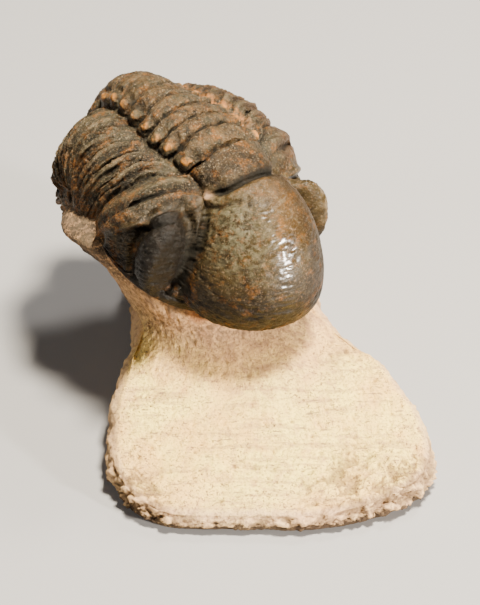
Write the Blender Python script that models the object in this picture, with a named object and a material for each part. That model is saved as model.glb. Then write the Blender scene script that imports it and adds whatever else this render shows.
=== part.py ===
"""A Barrandeops ovatus trilobite, arched over the neck of a piece of cream limestone.

The trilobite is modelled in its own frame in millimetres: +X forward, +Y to its left, +Z up, with the
pivot under the back of its head at the origin. Cross sections stand on a spine along its underside and
fan out as the animal bends. The limestone is a stack of outlines from a flat underside to the neck.
"""
from math import pi, radians

import bpy
import numpy as np

MM = 0.001
SPECIMEN_MIDDLE = (0.15, 0.55)

# Where the trilobite sits on the rock, how it is turned, and its size beside the sections below
PIVOT_PLACE = (-5.35, 9.5, 19.94)
YAW = 39.9
PITCH = -4.9
ROLL = 8.9
ANIMAL_SCALE = 0.975
SEAT_GROWTH = 0.6

# The way the underside bends, in degrees per segment and millimetres per segment
SEGMENTS = 11
HEAD_TILT = 29.9
HEAD_FAN = 98.0
NECK_BEND = 4.6
FRONT_BEND = 4.3
BACK_BEND = 14.8
TAIL_FAN = 88.0
FRONT_STEP = 1.65
BACK_STEP = 0.37
BEND_SEGMENT = 4.0

# Sizes of the cross sections. The head's left side is narrower by two shares, over the glabella and beyond,
# and the back's left side is higher by a share where it is fullest
HEAD_MARGIN_HEIGHT = 1.5
THORAX_MARGIN_HEIGHT = -2.2
LEFT_SQUEEZE = (0.13, 0.02)
LEFT_RISE = 0.11
LEFT_RISE_PLACE = (2.0, 2.0)
HEAD_HALF_WIDTH = 14.6
HEAD_LENGTH = 14.1
CHEEK_HEIGHT = 9.8
CHEEK_SQUARENESS = (2.0, 2.9)
THORAX_HALF_WIDTH = [(0, 14.6), (0.25, 14.0), (3, 13.3), (7, 12.5), (SEGMENTS, 11.2)]
PLEURA_HEIGHT = 9.4
PLEURA_DROP = 1.6
PLEURA_SQUARENESS = (2.9, 2.1)
AXIS_HALF_WIDTH = [(0, 5.3), (2, 5.3), (4, 4.7), (7, 4.0), (SEGMENTS, 3.7)]
AXIS_HEIGHT = 12.1
AXIS_DROP = 1.5
AXIS_ROUNDNESS = (1.15, 1.7)
HEAD_ROUNDNESS = 0.95
TAIL_LENGTH = 12.0
TAIL_AXIS_TIP = 1.4

# Degrees by which the back is rolled over to the animal's right behind the head, at places along the
# animal, and the rise of its right margin for each of them
TWIST = [(-0.3, 0), (-0.05, 4.0), (0.5, 6.5), (1.5, 6.5), (3, 5.0), (5, 2.0), (7, 0.5), (SEGMENTS, 0)]
MARGIN_LIFT = 0.183

# How far the axis stands to the animal's left of the middle of the back
AXIS_SHIFT = [(-0.3, 0), (0.2, 0.5), (1.5, -0.2), (3, -0.9), (4.5, -1.1), (6, -0.5), (8, 0.3), (SEGMENTS, 0)]

# How far furrows and ribs lie ahead of the sections, in segments: along the crest, at the ends of the rings,
# and back again across the ribs towards the margin
LEAD = [(-0.3, 0), (0, -0.05), (1, 0), (2, 0.2), (3, 0.35), (4, 0.45), (6, 0.5), (8, 0.3), (SEGMENTS, 0)]
RING_END_LEAD = 0.22
SWEEP = [(0.38, 0), (0.42, 0.1), (0.5, 0.75), (0.6, 0.98), (0.7, 1.2), (0.8, 1.45), (1, 1.8)]
HEAD_SEGMENT = 12.0

# Half width and height of the glabella at angles round the head, from the front margin to its back
GLABELLA_HALF_WIDTH = [
    (0, 8.8), (8, 9.2), (16, 9.5), (28, 9.0), (40, 8.2), (54, 7.2), (66, 6.1), (78, 5.2), (HEAD_FAN, 5.3),
]
GLABELLA_HEIGHT = [
    (0, 14.7), (6, 16.8), (12, 19.0), (20, 20.1), (30, 20.0), (42, 19.2), (54, 18.0), (66, 16.3), (76, 14.5),
    (86, 13.3), (HEAD_FAN, 12.8),
]

# Share of the way across, from the midline at 0 to the margin at 1, where the axis and glabella end
AXIS_EDGE = 0.4
SIDE_FURROW = 0.5
SIDE_FURROW_WIDTH = 0.035

# Furrows and ridges of the head: angle round the head, width in degrees, height in millimetres
OCCIPITAL_FURROW = (77.5, 2.2, -0.95)
BORDER_FURROW = (82.4, 2.4, -0.9)
BORDER_RIDGE = (90, 3.6, 0.45)
GLABELLA_FURROW = (68.5, 1.7, -0.4)
BROW_RIDGE = (72, 3.4, 0.55)
BROW_FURROW = (67, 2.4, -0.6)
LEFT_SHALLOWER = 0.65
LEFT_SMOOTHER = 0.35

# Ring and ribs of one segment, in millimetres
RING_GAP = 0.6
RING_CROWN = 0.2
THORAX_FURROW = 0.15
BEAD = 0.36
BEAD_PLACE = 0.29
BEAD_PHASE = 0.37
RIB_STEP = 0.55
RIB_RISE = 0.25
RIB_GROOVE = 0.35
TAIL_RINGS = 8
TAIL_RING_GAP = 0.5
TAIL_RIB_GAP = 0.65

# Eyes: angle round the head, share of the way across on the right and left, and sizes of the dome
EYE_ANGLE = 39.0
EYE_PLACE = {-1: 0.6, 1: 0.49}
EYE_LENGTH = 4.7
EYE_WIDTH = 2.7
EYE_HEIGHT = 3.2
EYE_REACH = 1.45
EYE_RIM = 0.8
EYE_GROOVE = 0.5
EYE_LEAN = (0.25, 0.35)
LOBE_TOP = {-1: 2.9, 1: 4.2}
LOBE_SLOPE = {-1: 1.1, 1: 0.25}

# How finely the trilobite and its seat are divided
HEAD_ROW_ANGLES = [0, 3, 8, 14, 21, 28, 35, 42, 49, 55, 61, 64.5, 67, 70, 73, 75.5, 78, 80, 82.5, 86, 90, 94]
SEGMENT_ROW_PHASES = [0.0, 0.15, 0.37, 0.6, 0.92]
TAIL_ROWS = 15
BELLY_COLUMNS = 4
SEAT_COLUMNS = 13
SEAT_HEAD_ROWS = 6
SEAT_FIRST_SECTIONS = [0.4, 0.85]
SEAT_STEP = 0.75
SEAT_TAIL_ROWS = 5
SPINE_STATIONS = 2601
SETTLING_STEPS = 20

# Corners of the slab's edge seen from above, from the front middle towards its left
SLAB_CORNERS = [
    (2.2, -25.3), (7.8, -25.4), (13.3, -24.2), (17.9, -22.1), (21.2, -19.2), (22.0, -15.3), (20.9, -10.6),
    (19.0, -7.0), (16.7, -2.8), (13.0, 1.8), (10.2, 7.7), (8.9, 16.2), (3.6, 23.2), (-5.7, 25.4),
    (-11.2, 22.8), (-12.8, 13.2), (-12.5, 3.7), (-13.9, -3.8), (-15.0, -10.8), (-14.8, -16.8),
    (-12.8, -21.7), (-8.8, -24.7), (-4.2, -25.3),
]
SLAB_POINTS = 60
EDGE_SAMPLES = 1201
LIP_HEIGHT = 2.4
APRON_SLOPE = 0.24
FRONT_EDGE = -25.2
APRON_TOP = -3.8
BACK_SLOPE = 1.35
RIM_BREAKAGE = 0.35

# Rings of the slab's rim as inset from its edge and share of its height, then of its top as share of the
# way from the rim to the foot of the neck and lift above the slope
RIM_RINGS = [(1.2, 0), (0.2, 0.25), (0, 0.55), (0.5, 0.85), (1.6, 1)]
TOP_RINGS = [(0.35, 0), (0.7, 0.1), (1, 0.9)]

# Outlines of the neck: height, middle x and y, half size along the animal's width and along its length
NECK_FOOT = (-1.5, 6.4, 12.8, 12.2)
NECK = [
    (10.4, -3.3, 6.95, 9.9, 9.8),
    (13.0, -4.9, 6.9, 9.4, 9.6),
    (15.8, -6.4, 8.0, 10.3, 9.0),
    (18.4, -8.0, 9.5, 11.6, 7.8),
    (20.5, -9.6, 11.0, 12.6, 5.9),
    (23.3, -8.0, 11.0, 9.4, 4.6),
]
NECK_SQUARENESS = 2.2

# Least way from the rim to the foot of the neck, in general and where the neck overhangs on the left, and
# how far round to the left the one passes into the other
FOOT_MARGIN = (3.8, 2.2)
FOOT_MARGIN_TURN = (0.75, 0.97)


def ease(start, end, x):
    """Goes smoothly from 0 to 1 between start and end."""
    t = np.clip((np.asarray(x, float) - start) / (end - start), 0, 1)
    return t * t * (3 - 2 * t)


def bell(x, centre, width):
    """A smooth bump of height 1."""
    return np.exp(-((np.asarray(x, float) - centre) / width) ** 2)


def hermite(t, first, first_slope, last, last_slope):
    """A cubic from first to last as t goes from 0 to 1."""
    return (
        (2 * t**3 - 3 * t**2 + 1) * first
        + (t**3 - 2 * t**2 + t) * first_slope
        + (3 * t**2 - 2 * t**3) * last
        + (t**3 - t**2) * last_slope
    )


def through(stations, x):
    """A smooth curve through (place, value) stations, level beyond its ends."""
    places = np.array([s[0] for s in stations], float)
    values = np.array([s[1] for s in stations], float)
    slopes = np.gradient(values, places)
    x = np.clip(np.asarray(x, float), places[0], places[-1])
    i = np.clip(np.searchsorted(places, x) - 1, 0, len(places) - 2)
    run = places[i + 1] - places[i]
    t = (x - places[i]) / run
    return hermite(t, values[i], run * slopes[i], values[i + 1], run * slopes[i + 1])


def spine_table():
    """Stations along the spine, the direction of the section at each, and its place in X and Z.

    Stations run from -1 at the front margin to 0 at the back of the head, then one for each segment, and
    one more for the tail.
    """
    stations = np.linspace(-1, SEGMENTS + 1, SPINE_STATIONS)
    gap = stations[1] - stations[0]
    in_head = stations < 0
    in_tail = stations >= SEGMENTS
    further_back = ease(BEND_SEGMENT - 1, BEND_SEGMENT + 1, stations)
    bend = FRONT_BEND + (BACK_BEND - FRONT_BEND) * further_back
    bend = np.where((stations >= 0) & (stations < 1), bend + NECK_BEND, bend)
    bend = np.where(in_head, HEAD_FAN, np.where(in_tail, TAIL_FAN, bend))
    turn = -HEAD_TILT + np.concatenate([[0], np.cumsum((bend[1:] + bend[:-1]) / 2 * gap)])
    step = np.where(in_head | in_tail, 0, FRONT_STEP + (BACK_STEP - FRONT_STEP) * further_back)
    dx = -np.sin(np.radians(turn)) * step
    dz = np.cos(np.radians(turn)) * step
    x = np.concatenate([[0], np.cumsum((dx[1:] + dx[:-1]) / 2 * gap)])
    z = np.concatenate([[0], np.cumsum((dz[1:] + dz[:-1]) / 2 * gap)])
    return stations, turn, x, z


SPINE = spine_table()


def head_angle(u):
    return HEAD_FAN * np.clip(u + 1, 0, 1)


def tail_share(u):
    return np.clip(u - SEGMENTS, 0, 1)


def oval(across, along, angle):
    """Radius of an ellipse at an angle from its across axis."""
    return 1 / np.sqrt((np.cos(angle) / across) ** 2 + (np.sin(angle) / along) ** 2)


def by_part(u, head, thorax, tail):
    return np.where(u < 0, head, np.where(u > SEGMENTS, tail, thorax))


def side_profile(u):
    """Half width, height and squareness of the sides of sections u."""
    angle, tail = head_angle(u), tail_share(u)
    half = by_part(u, HEAD_HALF_WIDTH, through(THORAX_HALF_WIDTH, u), THORAX_HALF_WIDTH[-1][1])
    cheek = oval(HEAD_LENGTH, CHEEK_HEIGHT, np.radians(angle))
    pleura = PLEURA_HEIGHT - PLEURA_DROP * ease(0, SEGMENTS, u)
    shield = oval(PLEURA_HEIGHT - PLEURA_DROP, TAIL_LENGTH, np.radians(tail * TAIL_FAN))
    front, back = CHEEK_SQUARENESS
    first, last = PLEURA_SQUARENESS
    cheek_square = front + (back - front) * ease(20, 90, angle)
    square = by_part(u, cheek_square, first, first + (last - first) * ease(0, 1, tail))
    return half, by_part(u, cheek, pleura, shield), square


def axis_profile(u):
    """Half width, height and flattening of the axis or glabella of sections u."""
    angle, tail = head_angle(u), tail_share(u)
    share = np.clip(u / SEGMENTS, 0, 1)
    end_half = AXIS_HALF_WIDTH[-1][1]
    half = by_part(u, through(GLABELLA_HALF_WIDTH, angle), through(AXIS_HALF_WIDTH, u),
                   end_half + (TAIL_AXIS_TIP - end_half) * tail)
    shield = side_profile(u)[1]
    rise = AXIS_HEIGHT - AXIS_DROP - (PLEURA_HEIGHT - PLEURA_DROP)
    crest = by_part(u, through(GLABELLA_HEIGHT, angle), AXIS_HEIGHT - AXIS_DROP * share,
                    shield + rise * (1 - ease(0, 0.85, tail)))
    flat = by_part(u, 1 - ease(3, 9, angle), 0, ease(0.55, 0.9, tail))
    return half, crest, flat


def margin_height(u):
    """How far the lower edge stands out from the spine: less along the thorax, where the ribs reach down."""
    reach_down = ease(-0.12, 0.9, u) * (1 - ease(2.5, 5.0, u))
    return HEAD_MARGIN_HEIGHT + (THORAX_MARGIN_HEIGHT - HEAD_MARGIN_HEIGHT) * reach_down


def side_height(y, half, side, square, margin):
    return margin + (side - margin) * (1 - np.clip(y / half, 0, 1) ** square) ** (1 / square)


def grid(along, across):
    return np.meshgrid(along, across, indexing="ij")


def smooth_back(u, v):
    """Points of the unridged back. u runs along the animal, v across it: -1 right margin, 1 left margin."""
    half, side, square = side_profile(u)
    side = side * (1 + LEFT_RISE * (v > 0) * bell(u, *LEFT_RISE_PLACE))
    axis, crest, flat = axis_profile(u)
    twist = through(TWIST, u)
    margin = margin_height(u) + MARGIN_LIFT * twist * (v < 0)
    w = np.abs(v)
    lean = np.clip(w / AXIS_EDGE, 0, 1) * pi / 2
    foot = side_height(axis, half, side, square, margin)
    round_y = axis * np.sin(lean)
    flat_y = axis * lean * 2 / pi
    right_round, left_round = AXIS_ROUNDNESS
    side_round = right_round + (left_round - right_round) * (v > 0)
    roundness = HEAD_ROUNDNESS + (side_round - HEAD_ROUNDNESS) * ease(-0.15, 0.5, u)
    round_height = foot + (crest - foot) * np.clip(np.cos(lean), 0, 1) ** roundness
    axis_y = round_y + flat * (flat_y - round_y)
    axis_height = round_height + flat * (side_height(flat_y, half, side, square, margin) - round_height)
    start = np.arcsin((axis / half) ** (square / 2))
    angle = start + (pi / 2 - start) * np.clip((w - AXIS_EDGE) / (1 - AXIS_EDGE), 0, 1)
    side_y = half * np.sin(angle) ** (2 / square)
    side_z = margin + (side - margin) * np.clip(np.cos(angle), 0, 1) ** (2 / square)
    y = np.where(w <= AXIS_EDGE, axis_y, side_y) * np.sign(v)
    squeeze = LEFT_SQUEEZE[0] * ease(0, 0.25, v) + LEFT_SQUEEZE[1] * ease(0.2, 0.6, v)
    y = y * (1 - squeeze * (1 - ease(-0.25, 0.3, u)))
    y = y + through(AXIS_SHIFT, u) * (1 - ease(AXIS_EDGE, 0.95, w))
    height = np.where(w <= AXIS_EDGE, axis_height, side_z)
    twist = np.radians(twist)
    y, height = y * np.cos(twist) - height * np.sin(twist), height * np.cos(twist) + y * np.sin(twist)
    stations, turn, x0, z0 = SPINE
    aim = np.radians(np.interp(u, stations, turn))
    x = np.interp(u, stations, x0) + height * np.cos(aim)
    z = np.interp(u, stations, z0) + height * np.sin(aim)
    return np.stack([x, y, z], -1)


def outward(points):
    """Unit normals of a grid of points."""
    normal = np.cross(np.gradient(points, axis=1), np.gradient(points, axis=0))
    return normal / (np.linalg.norm(normal, axis=2, keepdims=True) + 1e-12)


def eye_frame(side):
    """Centre of one eye's foot, the directions along it, inward and out of the cheek."""
    step = 0.01
    around = np.array([-step, 0, step])
    patch = smooth_back(*grid(EYE_ANGLE / HEAD_FAN - 1 + around, side * EYE_PLACE[side] + around))
    normal = outward(patch)[1, 1]
    along = patch[2, 1] - patch[0, 1]
    along -= normal * (along @ normal)
    along /= np.linalg.norm(along)
    inward = np.cross(normal, along)
    inward *= -side * np.sign(inward[1])
    return patch[1, 1], along, inward, normal


def raise_eye(points, u, v, side):
    """Pushes the cheek out into one eye, with a flat lobe on its inner side and a groove round its foot."""
    centre, along, inward, normal = eye_frame(side)
    lift = normal + np.array([0, side * EYE_LEAN[0], EYE_LEAN[1]])
    lift /= np.linalg.norm(lift)
    rest = points - centre
    a, b, c = rest @ along, rest @ inward, rest @ normal
    distance = np.hypot(a / EYE_LENGTH, b / EYE_WIDTH)
    t = np.clip(distance / EYE_REACH, 0, 1)
    climb = np.clip(t / EYE_RIM, 0, 1) * pi / 2
    beyond = 1 + (t - EYE_RIM) / (1 - EYE_RIM) * (EYE_REACH - 1)
    spread = np.where(t < EYE_RIM, np.sin(climb) ** 0.9, beyond)
    scale = np.where(distance > 1e-6, spread / np.maximum(distance, 1e-6), 1)
    dome = np.clip(np.cos(climb), 0, 1) ** 0.75 * EYE_HEIGHT
    lobe = LOBE_TOP[side] - LOBE_SLOPE[side] * (b * scale - 0.1) + 0.12 * a * scale
    height = np.where(t < EYE_RIM, np.minimum(dome, lobe), 0)
    moved = centre + (a * scale)[..., None] * along + (b * scale)[..., None] * inward + c[..., None] * normal
    groove = EYE_GROOVE * bell(t, EYE_RIM + 0.06, 0.08)
    moved = moved + height[..., None] * lift - groove[..., None] * normal
    near = (distance < EYE_REACH) & (u < 0) & (u > -0.97) & (np.sign(v) == side)
    share = near * ease(AXIS_EDGE + 0.01, AXIS_EDGE + 0.06, np.abs(v))
    return points + share[..., None] * (moved - points)


def ridge(angle, shape):
    place, width, height = shape
    return height * bell(angle, place, width)


def head_relief(angle, turned, v, w):
    """Furrows and borders of the head, out from the smooth back. turned is the angle with the ribs' sweep."""
    on_axis = 1 - ease(0.33, 0.4, w)
    on_cheek = ease(0.39, 0.44, w) * (1 - ease(0.88, 0.98, w)) * (1 - LEFT_SHALLOWER * (v > 0))
    furrows = ridge(turned, OCCIPITAL_FURROW) + ridge(turned, GLABELLA_FURROW) * ease(0.1, 0.3, w)
    border = ridge(turned, BORDER_FURROW) * (1 - 0.5 * ease(0.75, 0.9, w)) + ridge(turned, BORDER_RIDGE)
    brow = ridge(angle, BROW_RIDGE) * (1 - ease(0.8, 0.95, w))
    brow = brow + ridge(angle, BROW_FURROW) * bell(w, 0.66, 0.14)
    side_furrow = bell(w, AXIS_EDGE, SIDE_FURROW_WIDTH) * ease(8, 16, angle)
    side_furrow = side_furrow * (1 - 0.75 * ease(54, 66, angle))
    return on_axis * furrows + on_cheek * (border + brow) - SIDE_FURROW * side_furrow


def thorax_relief(place, v, w):
    """Axial rings with a bead at each end, and the lapped, grooved pleural ribs."""
    phase = place - np.floor(place)
    on_axis = 1 - ease(0.375, 0.41, w)
    ring = ease(0.0, 0.15, phase) * (1 - ease(0.88, 1.0, phase))
    rings = -RING_GAP * (1 - ring) * (0.3 + 0.7 * ease(0.06, 0.3, w)) + RING_CROWN * np.sin(pi * phase)
    beads = BEAD * bell(w, BEAD_PLACE, 0.036) * bell(phase, BEAD_PHASE, 0.2)
    lap = ease(0.0, 0.15, phase) * (RIB_RISE + RIB_STEP) - RIB_STEP + RIB_RISE * ease(0.5, 0.9, phase)
    flatter = 1 - 0.45 * ease(0.7, 0.85, w)
    groove_place = 0.34 + 0.22 * ease(0.42, 0.8, w)
    groove = RIB_GROOVE * bell(phase, groove_place, 0.1) * (1 - 0.9 * ease(0.74, 0.88, w))
    on_ribs = ease(0.405, 0.45, w) * (1 - 0.6 * ease(0.95, 1, w)) * (1 - LEFT_SMOOTHER * (v > 0))
    relief = on_axis * rings + beads + on_ribs * (lap * flatter - groove)
    return relief - THORAX_FURROW * bell(w, AXIS_EDGE, SIDE_FURROW_WIDTH)


def tail_relief(u, w):
    """Rings and ribs of the tail shield, which fade towards its edge."""
    tail = tail_share(u)
    phase = tail * TAIL_RINGS - np.floor(tail * TAIL_RINGS)
    joint = bell(np.minimum(phase, 1 - phase), 0, 0.2)
    on_axis = 1 - ease(0.37, 0.42, w)
    rings = -TAIL_RING_GAP * joint * (1 - ease(0.5, 0.75, tail))
    ribs = -TAIL_RIB_GAP * joint * (1 - ease(0.45, 0.75, tail)) * (1 - ease(0.8, 0.95, w))
    side_furrow = SIDE_FURROW * bell(w, AXIS_EDGE, SIDE_FURROW_WIDTH) * (1 - ease(0.5, 0.85, tail))
    return on_axis * rings + ease(0.40, 0.45, w) * ribs - side_furrow


def sections_at(place, w):
    """Sections in which the furrows and ribs at a place lie: below 0 round the head, then one per segment."""
    head_span = HEAD_FAN / HEAD_SEGMENT
    section = place
    for _ in range(SETTLING_STEPS):
        u = np.where(section < 0, section / head_span, section)
        fade = ease(40, 96, head_angle(u)) * (1 - ease(6, SEGMENTS, u))
        ahead = through(LEAD, u) + (RING_END_LEAD * ease(0.05, 0.28, w) - through(SWEEP, w)) * fade
        section = place - ahead
    return np.where(section < 0, section / head_span, section)


def ridged_back(places, columns):
    place, v = grid(places, columns)
    w = np.abs(v)
    u = sections_at(place, w)
    points = smooth_back(u, v)
    for side in (-1, 1):
        points = raise_eye(points, u, v, side)
    turned = HEAD_FAN + HEAD_SEGMENT * place
    on_head = head_relief(head_angle(u), turned, v, w)
    relief = by_part(place, on_head, thorax_relief(place, v, w), tail_relief(u, w))
    end = SEGMENTS + 1
    relief = relief * (1 - ease(0.985, 1, w)) * ease(-1, -0.97, u) * (1 - ease(end - 0.03, end, u))
    return points + relief[..., None] * outward(points)


def body_places():
    places = [(angle - HEAD_FAN) / HEAD_SEGMENT for angle in HEAD_ROW_ANGLES]
    places += [segment + phase for segment in range(SEGMENTS) for phase in SEGMENT_ROW_PHASES]
    return np.array(places + list(np.linspace(SEGMENTS, SEGMENTS + 1, TAIL_ROWS)))


def body_columns():
    """Places across the back, closer together at the furrow beside the axis."""
    furrow = AXIS_EDGE + np.array([-0.06, -0.025, 0, 0.03])
    half = np.concatenate([np.linspace(0, 0.29, 5), furrow, np.linspace(0.47, 0.82, 7), [0.91, 1]])
    return np.concatenate([-half[:0:-1], half])


def add_object(name, points, faces, material):
    mesh = bpy.data.meshes.new(name)
    mesh.from_pydata([tuple(p * MM) for p in points], [], faces)
    mesh.validate()
    mesh.shade_smooth()
    mesh.set_sharp_from_angle(angle=radians(40))
    if material:
        mesh.materials.append(material)
    body = bpy.data.objects.new(name, mesh)
    body.location = (-SPECIMEN_MIDDLE[0] * MM, -SPECIMEN_MIDDLE[1] * MM, 0)
    bpy.context.scene.collection.objects.link(body)
    return body


def loft_faces(rings, around):
    """Faces of a closed loft: bands between rings of points, and a flat face at each end."""
    faces = [tuple(range(around))[::-1]]
    for i in range(rings - 1):
        for j in range(around):
            k = (j + 1) % around
            faces.append((i * around + j, i * around + k, (i + 1) * around + k, (i + 1) * around + j))
    faces.append(tuple(range((rings - 1) * around, rings * around)))
    return faces


def add_animal(name, material, back):
    """Closes a back with a belly stretched between its two margins, and sets it on the rock."""
    share = np.linspace(0, 1, BELLY_COLUMNS + 2)[1:-1, None]
    belly = back[:, -1, None] + share * (back[:, 0, None] - back[:, -1, None])
    rings = np.concatenate([back, belly], axis=1)
    points = rings.reshape(-1, 3) * ANIMAL_SCALE
    body = add_object(name, points, loft_faces(*rings.shape[:2]), material)
    body.location.x += PIVOT_PLACE[0] * MM
    body.location.y += PIVOT_PLACE[1] * MM
    body.location.z = PIVOT_PLACE[2] * MM
    body.rotation_euler = (radians(-ROLL), radians(-PITCH), radians(YAW - 90))
    return body


def make_trilobite(material):
    add_animal("trilobite", material, ridged_back(body_places(), body_columns()))


def make_seat():
    """A plain, slightly larger trilobite, which cuts the hollow that the animal lies in."""
    head = np.linspace(-1, 0, SEAT_HEAD_ROWS)
    thorax = np.arange(2 * SEAT_STEP, SEGMENTS - SEAT_STEP / 2, SEAT_STEP)
    tail = np.linspace(SEGMENTS, SEGMENTS + 1, SEAT_TAIL_ROWS)
    rows = np.concatenate([head, SEAT_FIRST_SECTIONS, thorax, tail])
    back = smooth_back(*grid(rows, np.linspace(-1, 1, SEAT_COLUMNS)))
    seat = add_animal("trilobite_seat", None, back)
    normals = [vertex.normal.copy() for vertex in seat.data.vertices]
    for vertex, normal in zip(seat.data.vertices, normals):
        vertex.co += normal * SEAT_GROWTH * MM
    seat.hide_render = True
    seat.display_type = "WIRE"
    return seat


def slab_edge():
    """Even points on a smooth closed curve through the slab's corners, and the directions out of it."""
    corners = np.array(SLAB_CORNERS)
    count = len(corners)
    wrapped = [(k, corners[k % count]) for k in range(-2, count + 3)]
    fine = np.linspace(0, count, EDGE_SAMPLES)
    curve = np.column_stack([through([(k, c[axis]) for k, c in wrapped], fine) for axis in (0, 1)])
    length = np.concatenate([[0], np.cumsum(np.hypot(*np.diff(curve, axis=0).T))])
    even = np.arange(SLAB_POINTS) / SLAB_POINTS * length[-1]
    edge = np.column_stack([np.interp(even, length, curve[:, axis]) for axis in (0, 1)])
    tangent = np.roll(edge, -1, axis=0) - np.roll(edge, 1, axis=0)
    tangent /= np.hypot(*tangent.T)[:, None]
    return edge, np.column_stack([tangent[:, 1], -tangent[:, 0]])


def apron_height(y):
    rise = LIP_HEIGHT + APRON_SLOPE * (y - FRONT_EDGE)
    return rise - BACK_SLOPE * APRON_SLOPE * np.maximum(y - APRON_TOP, 0)


def neck_outline(direction, middle, half_wide, half_long):
    """Points of a squared oval in the animal's directions, one along each direction from its middle."""
    turn = radians(YAW)
    across = direction @ np.array([np.cos(turn), np.sin(turn)])
    along = direction @ np.array([np.sin(turn), -np.cos(turn)])
    power = NECK_SQUARENESS
    reach = (np.abs(across / half_wide) ** power + np.abs(along / half_long) ** power) ** (-1 / power)
    return np.array(middle) + direction * reach[:, None]


def rim_rings(edge, outward_plan):
    """Rings from the underside round the broken rim to the top of the slab."""
    chips = np.random.default_rng(4)
    rings = []
    for inset, share in RIM_RINGS:
        ragged = RIM_BREAKAGE * chips.uniform(-1, 1, len(edge)) * (share > 0)
        plan = edge - outward_plan * (inset + ragged)[:, None]
        rings.append(np.column_stack([plan, share * apron_height(plan[:, 1])]))
    return rings


def matrix_rings():
    edge, outward_plan = slab_edge()
    foot_middle = np.array(NECK_FOOT[:2])
    ray = edge - foot_middle
    room = np.hypot(*ray.T)
    direction = ray / room[:, None]
    rings = rim_rings(edge, outward_plan)
    shoulder = rings[-1][:, :2]
    foot = neck_outline(direction, NECK_FOOT[:2], *NECK_FOOT[2:])
    general, overhung = FOOT_MARGIN
    margin = general + (overhung - general) * ease(*FOOT_MARGIN_TURN, -direction[:, 0])
    foot_reach = np.minimum(np.hypot(*(foot - foot_middle).T), room - margin)
    foot = foot_middle + direction * foot_reach[:, None]
    for share, lift in TOP_RINGS:
        plan = shoulder + share * (foot - shoulder)
        rings.append(np.column_stack([plan, apron_height(plan[:, 1]) + lift]))
    for height, x, y, half_wide, half_long in NECK:
        plan = neck_outline(direction, (x, y), half_wide, half_long)
        rings.append(np.column_stack([plan, np.full(SLAB_POINTS, height)]))
    return rings


def with_rings_between(rings):
    """Adds a ring halfway between each two, on smooth curves through them all."""
    rings = np.array(rings)
    slopes = np.gradient(rings, axis=0)
    filled = []
    for i in range(len(rings) - 1):
        filled += [rings[i], hermite(0.5, rings[i], slopes[i], rings[i + 1], slopes[i + 1])]
    return np.array(filled + [rings[-1]])


def make_matrix(material):
    rings = matrix_rings()
    top = len(RIM_RINGS) - 1
    full = np.concatenate([rings[:top], with_rings_between(rings[top:])])
    body = add_object("matrix", full.reshape(-1, 3), loft_faces(*full.shape[:2]), material)
    cut = body.modifiers.new("seat", "BOOLEAN")
    cut.operation = "DIFFERENCE"
    cut.solver = "EXACT"
    cut.object = make_seat()


def surface_finish(name, colour, roughness):
    material = bpy.data.materials.new(name)
    material.use_nodes = True
    shader = material.node_tree.nodes["Principled BSDF"]
    shader.inputs["Base Color"].default_value = (*colour, 1)
    shader.inputs["Roughness"].default_value = roughness
    return material


for old in list(bpy.data.objects):
    bpy.data.objects.remove(old)
make_trilobite(surface_finish("brown_calcite", (0.12, 0.09, 0.055), 0.5))
make_matrix(surface_finish("cream_limestone", (0.72, 0.58, 0.38), 0.9))
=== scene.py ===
from math import atan, cos, pi, radians, sin

import bpy
import numpy as np
from mathutils import Euler, Matrix, Vector, noise
from mathutils.bvhtree import BVHTree


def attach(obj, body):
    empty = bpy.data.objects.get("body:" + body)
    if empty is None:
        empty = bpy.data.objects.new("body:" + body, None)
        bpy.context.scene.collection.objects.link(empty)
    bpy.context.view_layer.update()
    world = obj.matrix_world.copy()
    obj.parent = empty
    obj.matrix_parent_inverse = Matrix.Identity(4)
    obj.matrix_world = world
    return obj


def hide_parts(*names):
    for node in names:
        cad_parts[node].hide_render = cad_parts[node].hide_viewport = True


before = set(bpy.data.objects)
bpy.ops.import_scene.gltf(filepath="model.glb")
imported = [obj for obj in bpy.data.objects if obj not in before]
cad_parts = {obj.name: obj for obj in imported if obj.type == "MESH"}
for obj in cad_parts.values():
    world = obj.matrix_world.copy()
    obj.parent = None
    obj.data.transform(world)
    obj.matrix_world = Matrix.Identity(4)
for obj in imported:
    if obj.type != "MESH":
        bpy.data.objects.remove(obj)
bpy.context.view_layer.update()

MM = 0.001

# Middle of the specimen seen from above, among the places below
SPECIMEN_MIDDLE = (0.15, 0.55)

# Where the trilobite sits on the rock, how it is turned, and its size beside the sections below
PIVOT_PLACE = (-5.35, 9.5, 19.94)
YAW = 39.9
PITCH = -4.9
ROLL = 8.9
ANIMAL_SCALE = 0.975

# The way the underside bends, in degrees per segment and millimetres per segment
SEGMENTS = 11
HEAD_TILT = 29.9
HEAD_FAN = 98.0
NECK_BEND = 4.6
FRONT_BEND = 4.3
BACK_BEND = 14.8
TAIL_FAN = 88.0
FRONT_STEP = 1.65
BACK_STEP = 0.37
BEND_SEGMENT = 4.0
SPINE_STATIONS = 2601

# Sizes of the cross sections. The head's left side is narrower by two shares, over the glabella and beyond,
# and the back's left side is higher by a share where it is fullest
HEAD_MARGIN_HEIGHT = 1.5
THORAX_MARGIN_HEIGHT = -2.2
LEFT_SQUEEZE = (0.13, 0.02)
LEFT_RISE = 0.11
LEFT_RISE_PLACE = (2.0, 2.0)
HEAD_HALF_WIDTH = 14.6
HEAD_LENGTH = 14.1
CHEEK_HEIGHT = 9.8
CHEEK_SQUARENESS = (2.0, 2.9)
THORAX_HALF_WIDTH = [(0, 14.6), (0.25, 14.0), (3, 13.3), (7, 12.5), (SEGMENTS, 11.2)]
PLEURA_HEIGHT = 9.4
PLEURA_DROP = 1.6
PLEURA_SQUARENESS = (2.9, 2.1)
AXIS_HALF_WIDTH = [(0, 5.3), (2, 5.3), (4, 4.7), (7, 4.0), (SEGMENTS, 3.7)]
AXIS_HEIGHT = 12.1
AXIS_DROP = 1.5
AXIS_ROUNDNESS = (1.15, 1.7)
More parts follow.
